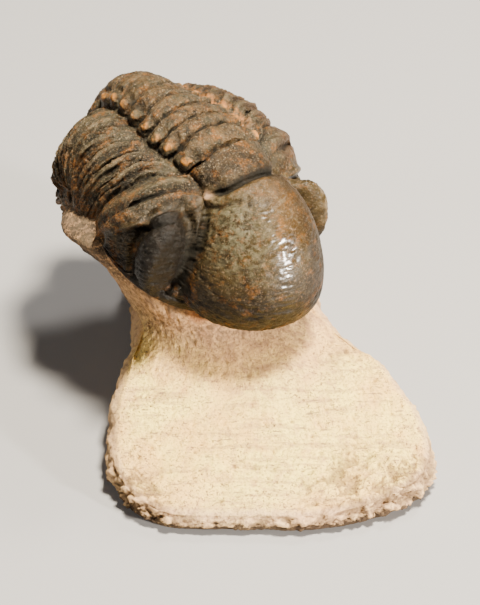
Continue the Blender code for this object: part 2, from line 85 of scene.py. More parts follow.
HEAD_ROUNDNESS = 0.95
TAIL_LENGTH = 12.0
TAIL_AXIS_TIP = 1.4

# Degrees by which the back is rolled over to the animal's right behind the head, at places along the
# animal, and the rise of its right margin for each of them
TWIST = [(-0.3, 0), (-0.05, 4.0), (0.5, 6.5), (1.5, 6.5), (3, 5.0), (5, 2.0), (7, 0.5), (SEGMENTS, 0)]
MARGIN_LIFT = 0.183

# How far the axis stands to the animal's left of the middle of the back
AXIS_SHIFT = [(-0.3, 0), (0.2, 0.5), (1.5, -0.2), (3, -0.9), (4.5, -1.1), (6, -0.5), (8, 0.3), (SEGMENTS, 0)]

# How far furrows and ribs lie ahead of the sections, in segments: along the crest, at the ends of the rings,
# and back again across the ribs towards the margin
LEAD = [(-0.3, 0), (0, -0.05), (1, 0), (2, 0.2), (3, 0.35), (4, 0.45), (6, 0.5), (8, 0.3), (SEGMENTS, 0)]
RING_END_LEAD = 0.22
SWEEP = [(0.38, 0), (0.42, 0.1), (0.5, 0.75), (0.6, 0.98), (0.7, 1.2), (0.8, 1.45), (1, 1.8)]
HEAD_SEGMENT = 12.0

# Half width and height of the glabella at angles round the head, from the front margin to its back
GLABELLA_HALF_WIDTH = [
    (0, 8.8), (8, 9.2), (16, 9.5), (28, 9.0), (40, 8.2), (54, 7.2), (66, 6.1), (78, 5.2), (HEAD_FAN, 5.3),
]
GLABELLA_HEIGHT = [
    (0, 14.7), (6, 16.8), (12, 19.0), (20, 20.1), (30, 20.0), (42, 19.2), (54, 18.0), (66, 16.3), (76, 14.5),
    (86, 13.3), (HEAD_FAN, 12.8),
]

# Share of the way across, from the midline at 0 to the margin at 1, where the axis and glabella end, and the
# furrow beside them: its depth in millimetres, its width as a share, and its place at angles round the head
AXIS_EDGE = 0.4
SIDE_FURROW = 0.5
SIDE_FURROW_WIDTH = 0.024
SIDE_FURROW_PLACE = [(0, 0.42), (16, 0.415), (36, 0.41), (57, 0.4), (74, 0.385), (HEAD_FAN, 0.4)]

# Furrows and ridges of the head: angle round the head, width in degrees, height in millimetres. The small
# lobe at the right back corner of the glabella also has its share of the way across, before the height. The
# cheek's rim has its height alone, and the joint behind the head its depth
OCCIPITAL_FURROW = (77.5, 2.2, -0.95)
BORDER_FURROW = (82.4, 2.4, -0.9)
BORDER_RIDGE = (90, 3.6, 0.45)
GLABELLA_FURROW = (68.5, 1.7, -0.4)
BROW_RIDGE = (72, 3.4, 0.55)
BROW_FURROW = (67, 2.4, -0.6)
FRONT_FURROW = (6.5, 1.2, -0.3)
SIDE_LOBE = (75.0, 4.4, 0.37, 0.75)
CHEEK_RIM = 0.12
HEAD_JOINT = 0.4

# The groove between the right eye and the glabella: place and width across, place and width round the head,
# and its share of the side furrow's depth
EYE_FURROW_ACROSS = (-0.445, 0.03)
EYE_FURROW_ROUND = (38, 22)
EYE_FURROW = 0.9

# Shares by which the cheek's furrows and the ribs are weaker on the animal's left
LEFT_SHALLOWER = 0.4
LEFT_SMOOTHER = 0.1

# Ring and ribs of one segment, in millimetres, and places within it as shares of its length and of the way
# across
RING_GAP = 0.6
RING_CROWN = 0.2
THORAX_FURROW = 0.15
BEAD = 0.36
BEAD_PLACE = 0.29
BEAD_PHASE = 0.37
BEAD_SIZE = (0.068, 0.36)
BEAD_NOTCH = 0.4
RIB_STEP = 0.5
RIB_RISE = 0.2
RIB_SLANT = 0.25
RIB_GROOVE = 0.35
RIB_STRANDS = 0.34
TAIL_RINGS = 8
TAIL_RING_GAP = 0.5
TAIL_RIB_GAP = 0.6

# Eyes: angle round the head, share of the way across on the right and left, sizes of the dome and the groove
# round its foot, and the flat lobe on its inner side
EYE_ANGLE = 39.0
EYE_PLACE = {-1: 0.6, 1: 0.49}
EYE_LENGTH = 4.7
EYE_WIDTH = 2.7
EYE_HEIGHT = 3.2
EYE_REACH = 1.45
EYE_RIM = 0.8
EYE_SPREAD = 0.9
EYE_FULLNESS = 0.75
EYE_GROOVE = 0.6
EYE_LEAN = (0.25, 0.35)
LOBE_TOP = {-1: 2.9, 1: 4.2}
LOBE_SLOPE = {-1: 1.1, 1: 0.25}
LOBE_START = 0.1
LOBE_TILT = 0.12
LENS_PITCH = 0.62
LENS_HEIGHT = 0.09

# How furrows and ribs waver along the shell, in segments, and across it, as a share of its half width, and
# the share by which their height varies, each with the size of its swings in millimetres
WAVER = 0.07
WAVER_SIZE = 3.2
CROSS_WAVER = 0.008
CROSS_WAVER_SIZE = 1.7
UNEVENNESS = 0.25
UNEVENNESS_SIZE = 4.0

# Weathering of the shell: height or depth of each kind, and the size of its features, in millimetres
WRINKLE = 0.15
WRINKLE_SIZE = 0.6
PITTING = 0.09
PITTING_SIZE = 0.42
DENT = 0.12
DENT_SIZE = 2.2
GRANULE = 0.3
GRANULE_SIZE = 0.9
KNOB = 0.07
KNOB_SIZE = 0.6

# How wrinkled the shell is: the glabella, how much more on its right and at the front, and the thorax
GLABELLA_WEAR = 0.16
RIGHT_WEAR = 0.64
FRONT_WEAR = 0.3
THORAX_WEAR = 0.45

# Depth and height, in millimetres, at which a hollow and a crest are marked in full for the finish, then the
# same for the weathering, what the weathering adds at its full height, and the hollow mark of the whole
# belly, for its painted shade
HOLLOW_DEPTH = 0.9
CREST_HEIGHT = 0.6
WEATHER_HEIGHT = 0.15
WEATHER_SHARE = 0.35
BELLY_SHADE = 0.7

# Rows of the shell's mesh along it, and columns across its back and its belly
HEAD_ROWS = 190
SEGMENT_ROWS = 18
TAIL_ROWS = 92
HALF_COLUMNS = 96
BELLY_COLUMNS = 5

# Where the rock isn't sunk under the shell: beside its margin, wider in the nook behind the head, and under
# the front of the head
MARGIN_COLUMNS = 5
NOOK_COLUMNS = 22
NOOK_ROWS = 16
FRONT_ROWS = 24

# Corners of the slab's edge seen from above, from the front middle towards +X and round
SLAB_CORNERS = [
    (2.2, -25.3), (7.8, -25.4), (13.3, -24.2), (17.9, -22.1), (21.2, -19.2), (22.0, -15.3), (20.9, -10.6),
    (19.0, -7.0), (16.7, -2.8), (13.0, 1.8), (10.2, 7.7), (8.9, 16.2), (3.6, 23.2), (-5.7, 25.4),
    (-11.2, 22.8), (-12.8, 13.2), (-12.5, 3.7), (-13.9, -3.8), (-15.0, -10.8), (-14.8, -16.8),
    (-12.8, -21.7), (-8.8, -24.7), (-4.2, -25.3),
]
SLAB_POINTS = 560
LIP_HEIGHT = 2.4
APRON_SLOPE = 0.24
FRONT_EDGE = -25.2
APRON_TOP = -3.8
BACK_SLOPE = 1.35

# Rings of the slab's rim as inset from its edge and share of its height, then of its top as share of the
# way from the rim to the foot of the neck and lift above the slope
RIM_RINGS = [(1.2, 0), (0.2, 0.25), (0, 0.55), (0.5, 0.85), (1.6, 1)]
TOP_RINGS = [(0.35, 0), (0.7, 0.1), (1, 0.9)]

# Outlines of the neck: height, middle x and y, half size along the animal's width and along its length
NECK_FOOT = (-1.5, 6.4, 12.8, 12.2)
NECK = [
    (10.4, -3.3, 6.95, 9.9, 9.8),
    (13.0, -4.9, 6.9, 9.4, 9.6),
    (15.8, -6.4, 8.0, 10.3, 9.0),
    (18.4, -8.0, 9.5, 11.6, 7.8),
    (20.5, -9.6, 11.0, 12.6, 5.9),
    (23.3, -8.0, 11.0, 9.4, 4.6),
]
NECK_SQUARENESS = 2.2
FOOT_MARGIN = (3.8, 2.2)

# Rings of fine mesh between each two rings of the rock, from the underside up
RINGS_BETWEEN = [3, 4, 5, 7, 40, 30, 14, 12, 10, 10, 8, 8, 6]

# Breakage and grain of the rock, in millimetres. The rim is broken most at two corners of the lip, each with
# its place and half width in x and y, and its blocks are flatter than wide
RIM_BREAKAGE = 0.75
RIM_LUMP = 2.1
RIM_CRUMB = 0.5
CRUMB_SIZE = 1.15
FINE_CRUMB_SIZE = 0.45 * CRUMB_SIZE
CRUMB_FLATNESS = 1.7
LEFT_BREAK = ((-12.5, 4.5), (-23, 5))
RIGHT_BREAK = ((17, 9), (-22, 6))
GRAIN = 0.09
GRAIN_SIZE = 0.55
PIT_DEPTH = 0.25
PIT_SPACING = 1.3
PIT_SHARE = 0.35
SWELL = 0.22
SWELL_SIZE = 6.0
ROCK_HOLLOW_DEPTH = 0.3

# How far below the shell the rock is sunk where it would come too near
SHELL_CLEARANCE = 1.0

# The noises: how far apart two seeds are read, how much weaker and smaller each finer octave is, what tells
# one block from the next, and the widths of cracks and round spots as shares of a block
SEED_STEP = (17.3, 5.1, 9.7)
OCTAVE_LOSS = 0.9
OCTAVE_STEP = 2.1
BLOCK_MIX = 7.7
CRACK_WIDTH = 0.16
SPOT_RADIUS = 0.3125

# Colours of the shell, as red, green and blue in linear light, two where patches go from one to the other
OLIVE_SHELL = ((0.014, 0.0085, 0.0024), (0.036, 0.0225, 0.0065))
GREY_SHELL = ((0.013, 0.01, 0.0055), (0.042, 0.034, 0.0185))
GREY_GREEN = (0.11, 0.1, 0.058)
OCHRE = (0.11, 0.053, 0.012)
AXIS_BROWN = (0.085, 0.045, 0.016)
SMUDGE_BROWN = (0.014, 0.01, 0.006)
MOTTLE_BUFF = (0.13, 0.1, 0.055)
# Painted highlight along the raised crests
CREST_HIGHLIGHT = (0.2, 0.145, 0.075)
FINE_BUFF = (0.24, 0.14, 0.07)
FLANK_BROWN = (0.015, 0.009, 0.0035)
# Painted shade on the right cheek
CHEEK_SHADE = (0.012, 0.0095, 0.006)
# Painted shade on the low front of the head
LOW_FRONT_SHADE = (0.005, 0.0035, 0.002)
# The left eye's lighter gold-brown: its own tone with a painted highlight
LEFT_EYE_HIGHLIGHT_BROWN = (0.13, 0.085, 0.035)
IRON_STAIN = (0.17, 0.062, 0.009)
# Pale specks that stand in for glints: painted highlight
PAINTED_GLINT = (0.28, 0.21, 0.13)
FURROW_ORANGE = (0.4, 0.15, 0.035)
BEAD_ORANGE = (0.34, 0.14, 0.03)
LOBE_PINK = (0.36, 0.22, 0.13)
RIB_END_RUST = (0.22, 0.08, 0.015)
# Painted shade over the right eye
EYE_SHADE = (0.005, 0.0037, 0.0025)
EYE_FLECK = (0.05, 0.035, 0.02)
# Painted shade on the slope between the right eye and the glabella
EYE_SLOPE_SHADE = (0.008, 0.006, 0.004)
FAR_SIDE_BROWN = (0.075, 0.03, 0.011)
# Painted shade in the furrows and over the belly
HOLLOW_SHADE = (0.006, 0.005, 0.003)

# Colours of the limestone
CREAM = ((0.86, 0.52, 0.14), (0.98, 0.74, 0.17))
MOTTLE_TAN = (0.62, 0.36, 0.14)
OCHRE_CLOUD = (0.62, 0.3, 0.09)
BEDDING_BROWN = (0.46, 0.28, 0.11)
FINE_TAN = (0.42, 0.27, 0.14)
GRIT_BROWN = (0.17, 0.105, 0.055)
SPECK_BROWN = (0.12, 0.07, 0.04)
DASH_BROWN = (0.2, 0.13, 0.075)
# Painted shade in the cracks of the broken rim
CRACK_SHADE = (0.07, 0.038, 0.019)
# Warmer tan: the rock's own tone on its edges, and a painted shade tint beside the shell and up the neck
EDGE_TAN_AND_SHADE_TINT = (0.72, 0.43, 0.2)
SIDE_TAN = (0.55, 0.35, 0.22)
SHADE_BROWN = (0.3, 0.15, 0.075)
# Painted shade up the neck, darkest at its top under the shell, laid in grey mottles, specks and patches
NECK_GREY_SHADE = (0.15, 0.095, 0.06)
NECK_SPECKS_AND_SHADE = (0.055, 0.038, 0.025)
NECK_TOP_SHADE = (0.06, 0.042, 0.026)
# Painted shade on the rock where it meets the shell
CONTACT_SHADE = (0.15, 0.105, 0.06)
CONTACT_RUST = (0.35, 0.12, 0.035)
# Painted shade where the rock's surface is sunk
ROCK_SUNK_SHADE = (0.12, 0.07, 0.035)
# Painted shade along the underside of the lip, near the floor
UNDER_EDGE_SHADE = (0.035, 0.02, 0.012)

# The floor and the studio round it
FLOOR_SIZE = 4
FLOOR_COLOUR = (0.31, 0.3, 0.3)
FLOOR_ROUGHNESS = 0.8
SURROUND_COLOUR = (0.9, 0.9, 0.92, 1)
SURROUND_STRENGTH = 0.04

# Lamps: place and size in millimetres, power in watts and colour. All of them aim at one place
LAMPS = {
    "key": ((70, -10, 345), 65, 5.8, (1, 0.92, 0.76)),
    "side": ((255, -215, 85), 26, 4.0, (1, 0.93, 0.82)),
    "fill": ((-250, -125, 210), 70, 0.25, (1, 0.97, 0.93)),
    "back": ((170, 240, 330), 70, 1.6, (1, 0.96, 0.88)),
}
LAMP_TARGET = (0, 0, 15)

# The camera, in millimetres and degrees: it looks at the front from above
CAMERA_TARGET = (0.08, 16.5)
CAMERA_DISTANCE = 450.0
CAMERA_ELEVATION = 38.0
VIEW_HEIGHT = 72.0


def ease(start, end, x):
    """Goes smoothly from 0 to 1 between start and end."""
    t = np.clip((np.asarray(x, float) - start) / (end - start), 0, 1)
    return t * t * (3 - 2 * t)


def bell(x, centre, width):
    """A smooth bump of height 1."""
    return np.exp(-((np.asarray(x, float) - centre) / width) ** 2)


def cubic(t, first, first_slope, last, last_slope):
    """A cubic from first to last as t goes from 0 to 1."""
    return (
        (2 * t**3 - 3 * t**2 + 1) * first
        + (t**3 - 2 * t**2 + t) * first_slope
        + (3 * t**2 - 2 * t**3) * last
        + (t**3 - t**2) * last_slope
    )


def through(stations, x):
    """A smooth curve through (place, value) stations, level beyond its ends."""
    places = np.array([s[0] for s in stations], float)
    values = np.array([s[1] for s in stations], float)
    slopes = np.gradient(values, places)
    x = np.clip(np.asarray(x, float), places[0], places[-1])
    i = np.clip(np.searchsorted(places, x) - 1, 0, len(places) - 2)
    run = places[i + 1] - places[i]
    t = (x - places[i]) / run
    return cubic(t, values[i], run * slopes[i], values[i + 1], run * slopes[i + 1])


def field(points, size, seed, sample):
    """One number at each point, from a noise with features of a size in millimetres."""
    shifted = points.reshape(-1, 3) / size + np.array(SEED_STEP) * seed
    return np.array([sample(Vector(p)) for p in shifted]).reshape(points.shape[:-1])


def lumps(points, size, seed, octaves=3):
    """Soft lumps and hollows, above and below 0."""
    return field(points, size, seed, lambda p: noise.fractal(p, OCTAVE_LOSS, OCTAVE_STEP, octaves))


def creases(points, size, seed, octaves=3):
    """Sharp crests between rounded hollows, 1 at their highest."""
    return 1 - np.abs(lumps(points, size, seed, octaves)) * 2


def block_number(middle):
    """A number from 0 to 1 for the block that has this middle."""
    return noise.cell(middle * BLOCK_MIX)


def blocks(points, size, seed):
    """Angular blocks: a height of -0.5 to 0.5 for each, and the cracks between them, 1 at their deepest."""
    def height(p):
        return block_number(noise.voronoi(p)[1][0]) - 0.5
    def gap(p):
        near = noise.voronoi(p)[0]
        return near[1] - near[0]
    return field(points, size, seed, height), 1 - ease(0.0, CRACK_WIDTH, field(points, size, seed, gap))


def spots(points, spacing, seed, share):
    """Round spots of height 1 at the middles of some of the cells of a loose lattice."""
    def spot(p):
        near, middles = noise.voronoi(p)
        return max(0.0, 1 - near[0] / SPOT_RADIUS) if block_number(middles[0]) < share else 0.0
    return field(points, spacing, seed, spot)


def spine_table():
    """Stations along the spine, the direction of the section at each, and its place in X and Z.

    Stations run from -1 at the front margin to 0 at the back of the head, then one for each segment, and
    one more for the tail.
    """
    stations = np.linspace(-1, SEGMENTS + 1, SPINE_STATIONS)
    gap = stations[1] - stations[0]
    in_head = stations < 0
    in_tail = stations >= SEGMENTS
    further_back = ease(BEND_SEGMENT - 1, BEND_SEGMENT + 1, stations)
    bend = FRONT_BEND + (BACK_BEND - FRONT_BEND) * further_back
    bend = np.where((stations >= 0) & (stations < 1), bend + NECK_BEND, bend)
    bend = np.where(in_head, HEAD_FAN, np.where(in_tail, TAIL_FAN, bend))
    turn = -HEAD_TILT + np.concatenate([[0], np.cumsum((bend[1:] + bend[:-1]) / 2 * gap)])
    step = np.where(in_head | in_tail, 0, FRONT_STEP + (BACK_STEP - FRONT_STEP) * further_back)
    dx = -np.sin(np.radians(turn)) * step
    dz = np.cos(np.radians(turn)) * step
    x = np.concatenate([[0], np.cumsum((dx[1:] + dx[:-1]) / 2 * gap)])
    z = np.concatenate([[0], np.cumsum((dz[1:] + dz[:-1]) / 2 * gap)])
    return stations, turn, x, z


SPINE = spine_table()


def head_angle(u):
    """Degrees round the head from its front margin, for stations along the spine."""
    return HEAD_FAN * np.clip(u + 1, 0, 1)


def tail_share(u):
    """Share of the way round the tail shield."""
    return np.clip(u - SEGMENTS, 0, 1)


def oval(across, along, angle):
    """Radius of an ellipse at an angle from its across axis."""
    return 1 / np.sqrt((np.cos(angle) / across) ** 2 + (np.sin(angle) / along) ** 2)


def by_part(u, head, thorax, tail):
    """Picks the head's, the thorax's or the tail's value for each station."""
    return np.where(u < 0, head, np.where(u > SEGMENTS, tail, thorax))


def side_profile(u):
    """Half width, height and squareness of the sides of sections u."""
    angle, tail = head_angle(u), tail_share(u)
    half = by_part(u, HEAD_HALF_WIDTH, through(THORAX_HALF_WIDTH, u), THORAX_HALF_WIDTH[-1][1])
    cheek = oval(HEAD_LENGTH, CHEEK_HEIGHT, np.radians(angle))
    pleura = PLEURA_HEIGHT - PLEURA_DROP * ease(0, SEGMENTS, u)
    shield = oval(PLEURA_HEIGHT - PLEURA_DROP, TAIL_LENGTH, np.radians(tail * TAIL_FAN))
    front, back = CHEEK_SQUARENESS
    first, last = PLEURA_SQUARENESS
    cheek_square = front + (back - front) * ease(20, 90, angle)
    square = by_part(u, cheek_square, first, first + (last - first) * ease(0, 1, tail))
    return half, by_part(u, cheek, pleura, shield), square


def axis_profile(u):
    """Half width, height and flattening of the axis or glabella of sections u."""
    angle, tail = head_angle(u), tail_share(u)
    share = np.clip(u / SEGMENTS, 0, 1)
    end_half = AXIS_HALF_WIDTH[-1][1]
    half = by_part(u, through(GLABELLA_HALF_WIDTH, angle), through(AXIS_HALF_WIDTH, u),
                   end_half + (TAIL_AXIS_TIP - end_half) * tail)
    shield = side_profile(u)[1]
    rise = AXIS_HEIGHT - AXIS_DROP - (PLEURA_HEIGHT - PLEURA_DROP)
    crest = by_part(u, through(GLABELLA_HEIGHT, angle), AXIS_HEIGHT - AXIS_DROP * share,
                    shield + rise * (1 - ease(0, 0.85, tail)))
    flat = by_part(u, 1 - ease(3, 9, angle), 0, ease(0.55, 0.9, tail))
    return half, crest, flat


def margin_height(u):
    """How far the lower edge stands out from the spine: less along the thorax, where the ribs reach down."""
    reach_down = ease(-0.2, 0.3, u) * (1 - 0.3 * ease(2.5, 5.0, u)) * (1 - ease(8.0, 11.0, u))
    return HEAD_MARGIN_HEIGHT + (THORAX_MARGIN_HEIGHT - HEAD_MARGIN_HEIGHT) * reach_down


def side_height(y, half, side, square, margin):
    """Height of the squared oval of the sides at a distance y from the middle."""
    return margin + (side - margin) * (1 - np.clip(y / half, 0, 1) ** square) ** (1 / square)


def smooth_back(u, v):
    """Points of the unridged back. u runs along the animal, v across it: -1 right margin, 1 left margin."""
    u, v = np.meshgrid(u, v, indexing="ij")
    half, side, square = side_profile(u)
    side = side * (1 + LEFT_RISE * (v > 0) * bell(u, *LEFT_RISE_PLACE))
    axis, crest, flat = axis_profile(u)
    twist = through(TWIST, u)
    margin = margin_height(u) + MARGIN_LIFT * twist * (v < 0)
    w = np.abs(v)
    lean = np.clip(w / AXIS_EDGE, 0, 1) * pi / 2
    foot = side_height(axis, half, side, square, margin)
    round_y = axis * np.sin(lean)
    flat_y = axis * lean * 2 / pi
    right_round, left_round = AXIS_ROUNDNESS
    side_round = right_round + (left_round - right_round) * (v > 0)
    roundness = HEAD_ROUNDNESS + (side_round - HEAD_ROUNDNESS) * ease(-0.15, 0.5, u)
    round_height = foot + (crest - foot) * np.clip(np.cos(lean), 0, 1) ** roundness
    axis_y = round_y + flat * (flat_y - round_y)
    axis_height = round_height + flat * (side_height(flat_y, half, side, square, margin) - round_height)
    start = np.arcsin((axis / half) ** (square / 2))
    angle = start + (pi / 2 - start) * np.clip((w - AXIS_EDGE) / (1 - AXIS_EDGE), 0, 1)
    side_y = half * np.sin(angle) ** (2 / square)
    side_z = margin + (side - margin) * np.clip(np.cos(angle), 0, 1) ** (2 / square)
    y = np.where(w <= AXIS_EDGE, axis_y, side_y) * np.sign(v)
    squeeze = LEFT_SQUEEZE[0] * ease(0, 0.25, v) + LEFT_SQUEEZE[1] * ease(0.2, 0.6, v)
    y = y * (1 - squeeze * (1 - ease(-0.25, 0.3, u)))
    y = y + through(AXIS_SHIFT, u) * (1 - ease(AXIS_EDGE, 0.95, w))
    height = np.where(w <= AXIS_EDGE, axis_height, side_z)
    twist = np.radians(twist)
    y, height = y * np.cos(twist) - height * np.sin(twist), height * np.cos(twist) + y * np.sin(twist)
    stations, turn, x0, z0 = SPINE
    aim = np.radians(np.interp(u, stations, turn))
    x = np.interp(u, stations, x0) + height * np.cos(aim)
    z = np.interp(u, stations, z0) + height * np.sin(aim)
    return np.stack([x, y, z], -1), u, v


def outward(points):
    """Unit normals of a grid of points."""
    normal = np.cross(np.gradient(points, axis=1), np.gradient(points, axis=0))
    return normal / (np.linalg.norm(normal, axis=2, keepdims=True) + 1e-12)


def eye_frame(side):
    """Centre of one eye's foot, the directions along it, inward and out of the cheek."""
    step = 0.01
    around = np.array([-step, 0, step])
    patch = smooth_back(EYE_ANGLE / HEAD_FAN - 1 + around, side * EYE_PLACE[side] + around)[0]
    normal = outward(patch)[1, 1]
    along = patch[2, 1] - patch[0, 1]
    along -= normal * (along @ normal)
    along /= np.linalg.norm(along)
    inward = np.cross(normal, along)
    inward *= -side * np.sign(inward[1])
    return patch[1, 1], along, inward, normal


def raise_eye(points, u, v, side):
    """Pushes the cheek out into one eye, with a flat lobe on its inner side and a groove round its foot.

    Also gives the share of each point that is on the eye's outer, seeing face, and on the eye at all.
    """
    centre, along, inward, normal = eye_frame(side)
    lift = normal + np.array([0, side * EYE_LEAN[0], EYE_LEAN[1]])
    lift /= np.linalg.norm(lift)
    rest = points - centre
    a, b, c = rest @ along, rest @ inward, rest @ normal
    distance = np.hypot(a / EYE_LENGTH, b / EYE_WIDTH)
    t = np.clip(distance / EYE_REACH, 0, 1)
    climb = np.clip(t / EYE_RIM, 0, 1) * pi / 2
    beyond = 1 + (t - EYE_RIM) / (1 - EYE_RIM) * (EYE_REACH - 1)
    spread = np.where(t < EYE_RIM, np.sin(climb) ** EYE_SPREAD, beyond)
    height = np.where(t < EYE_RIM, np.clip(np.cos(climb), 0, 1) ** EYE_FULLNESS, 0) * EYE_HEIGHT
    scale = np.where(distance > 1e-6, spread / np.maximum(distance, 1e-6), 1)
    lobe = LOBE_TOP[side] - LOBE_SLOPE[side] * (b * scale - LOBE_START) + LOBE_TILT * a * scale
    height = np.where(t < EYE_RIM, softer_least(height, lobe), 0)
    moved = centre + (a * scale)[..., None] * along + (b * scale)[..., None] * inward
    moved = moved + c[..., None] * normal
    deeper = 1 + 0.6 * ease(-3, 0, -a) * ease(-1, 1.5, b) + 0.6 * ease(0, 2.5, b)
    near_margin = ease(-0.97, -0.86, u) * (1 - ease(0.8, 0.95, np.abs(v)))
    groove = EYE_GROOVE * deeper * bell(t, EYE_RIM + 0.06, 0.08) * near_margin
    moved = moved + height[..., None] * lift - groove[..., None] * normal
    near = (distance < EYE_REACH) & (u < 0) & (u > -0.97) & (np.sign(v) == side)
    share = near * ease(AXIS_EDGE + 0.01, AXIS_EDGE + 0.06, np.abs(v))
    face = share * (1 - ease(EYE_RIM - 0.12, EYE_RIM - 0.02, t)) * ease(0, 0.5, lobe - height)
    dome = share * (1 - ease(EYE_RIM - 0.06, EYE_RIM + 0.06, t))
    return points + share[..., None] * (moved - points), face, dome


def softer_least(first, second):
    """The lesser of two heights, with a rounded edge where they cross."""
    sharpness = 9.0
    return -np.log(np.exp(-sharpness * first) + np.exp(-sharpness * second)) / sharpness


def ridge(angle, shape):
    """A ridge across the head, or a furrow where its height is below 0."""
    place, width, height = shape
    return height * bell(angle, place, width)


def relief_place(u, w):
    """Where points lie among the furrows and ribs: below 0 round the head, then one for each segment."""
    angle = head_angle(u)
    place = np.where(u < 0, (angle - HEAD_FAN) / HEAD_SEGMENT, u)
    fade = ease(40, 96, angle) * (1 - ease(6, SEGMENTS, u))
    ring_ends = RING_END_LEAD * ease(0.05, 0.28, w)
    return place + through(LEAD, u) + (ring_ends - through(SWEEP, w)) * fade


def head_relief(angle, place, v, w):
    """Furrows and borders of the head, out from the smooth back. place is the angle with the ribs' sweep."""
    on_axis = 1 - ease(0.33, 0.4, w)
    on_cheek = ease(0.39, 0.44, w) * (1 - ease(0.88, 0.98, w))
    axis_furrows = ridge(place, OCCIPITAL_FURROW) + ridge(place, GLABELLA_FURROW) * ease(0.1, 0.3, w)
    furrow_depth = (0.45 + 0.55 * ease(0.45, 0.62, w)) * (1 - 0.5 * ease(0.75, 0.9, w))
    border = ridge(place, BORDER_FURROW) * furrow_depth + ridge(place, BORDER_RIDGE)
    brow = ridge(angle, BROW_RIDGE) * (1 - ease(0.8, 0.95, w))
    brow = brow + ridge(angle, BROW_FURROW) * bell(w, 0.66, 0.14)
    furrow_line = through(SIDE_FURROW_PLACE, angle)
    side_furrow = bell(w, furrow_line, SIDE_FURROW_WIDTH) * ease(8, 16, angle)
    side_furrow = side_furrow * (1 - 0.75 * ease(54, 66, angle))
    side_furrow = side_furrow + EYE_FURROW * bell(v, *EYE_FURROW_ACROSS) * bell(angle, *EYE_FURROW_ROUND)
    side_lobe = SIDE_LOBE[3] * bell(w, SIDE_LOBE[2], 0.05) * bell(angle, SIDE_LOBE[0], SIDE_LOBE[1]) * (v < 0)
    cheek_rim = CHEEK_RIM * (bell(w, 0.955, 0.025) - bell(w, 0.9, 0.022)) * ease(30, 50, angle)
    joint = HEAD_JOINT * ease(HEAD_FAN - 2.0, HEAD_FAN, place) * (1 - ease(0.9, 1, w))
    cheek = on_cheek * (border + brow) * (1 - LEFT_SHALLOWER * (v > 0))
    relief = on_axis * axis_furrows + cheek + side_lobe + cheek_rim + ridge(angle, FRONT_FURROW)
    return relief - joint - SIDE_FURROW * side_furrow


def thorax_relief(place, v, w):
    """Axial rings with a bead at each end, and the lapped, grooved pleural ribs."""
    phase = place - np.floor(place)
    on_axis = 1 - ease(0.375, 0.41, w)
    ring = ease(0.0, 0.16, phase) * (1 - ease(0.86, 1.0, phase))
    crown = np.sin(pi * np.clip((phase - 0.06) / 0.88, 0, 1)) ** 0.8
    gap = RING_GAP * (0.75 + 0.35 * ease(0.06, 0.3, w))
    notch = BEAD_NOTCH * bell(w, BEAD_PLACE - 0.08, 0.024) * bell(phase, BEAD_PHASE, 0.3)
    rings = -gap * (1 - ring) + RING_CROWN * crown - notch
    from_bead = np.hypot((w - BEAD_PLACE) / BEAD_SIZE[0], (phase - BEAD_PHASE) / BEAD_SIZE[1])
    beads = BEAD * (1 - ease(0.25, 1.0, from_bead))
    lap = (RIB_RISE + RIB_STEP) * (ease(0.0, 0.16, phase) - ease(0.93, 1.0, phase)) - RIB_STEP
    lap = lap + RIB_SLANT * ease(0.5, 0.9, phase)
    flatter = 1 - 0.45 * ease(0.7, 0.85, w)
    groove_place = 0.34 + 0.22 * ease(0.42, 0.8, w)
    groove = RIB_GROOVE * bell(phase, groove_place, 0.085) * (1 - 0.9 * ease(0.74, 0.88, w))
    on_ribs = ease(0.405, 0.45, w) * (1 - 0.6 * ease(0.95, 1, w)) * (1 - LEFT_SMOOTHER * (v > 0))
    relief = on_axis * rings + beads + on_ribs * (lap * flatter - groove)
    return relief - THORAX_FURROW * bell(w, AXIS_EDGE, SIDE_FURROW_WIDTH)


def tail_relief(u, w):
    """Rings and ribs of the tail shield, which fade towards its edge."""
    tail = tail_share(u)
    phase = tail * TAIL_RINGS - np.floor(tail * TAIL_RINGS)
    joint = bell(np.minimum(phase, 1 - phase), 0, 0.16)
    on_axis = 1 - ease(0.37, 0.42, w)
    rings = -TAIL_RING_GAP * joint * (1 - ease(0.55, 0.8, tail))
    ribs = -TAIL_RIB_GAP * joint * (1 - ease(0.5, 0.8, tail)) * (1 - ease(0.82, 0.95, w))
    side_furrow = SIDE_FURROW * bell(w, AXIS_EDGE, SIDE_FURROW_WIDTH) * (1 - ease(0.5, 0.85, tail))
    return on_axis * rings + ease(0.40, 0.45, w) * ribs - side_furrow


def lens_relief(points, side):
    """The lenses of an eye: small domes in slanting rows over its outer face."""
    centre, along, inward, normal = eye_frame(side)
    rest = points - centre
    a, b = rest @ along / LENS_PITCH, rest @ (normal - inward * 0.4) / LENS_PITCH
    b = b + 0.5 * np.floor(a)
    gap = np.hypot(a - np.floor(a) - 0.5, b - np.floor(b) - 0.5)
    return LENS_HEIGHT * (1 - ease(0.1, 0.5, gap))


def depth_mark(depth, full_depth, weather_depth):
    """Share of the full depth or height that each point has, and a little more for its weathering."""
    weather = np.clip(weather_depth / WEATHER_HEIGHT, 0, 1)
    return np.clip(depth / full_depth, 0, 1) + weather * WEATHER_SHARE


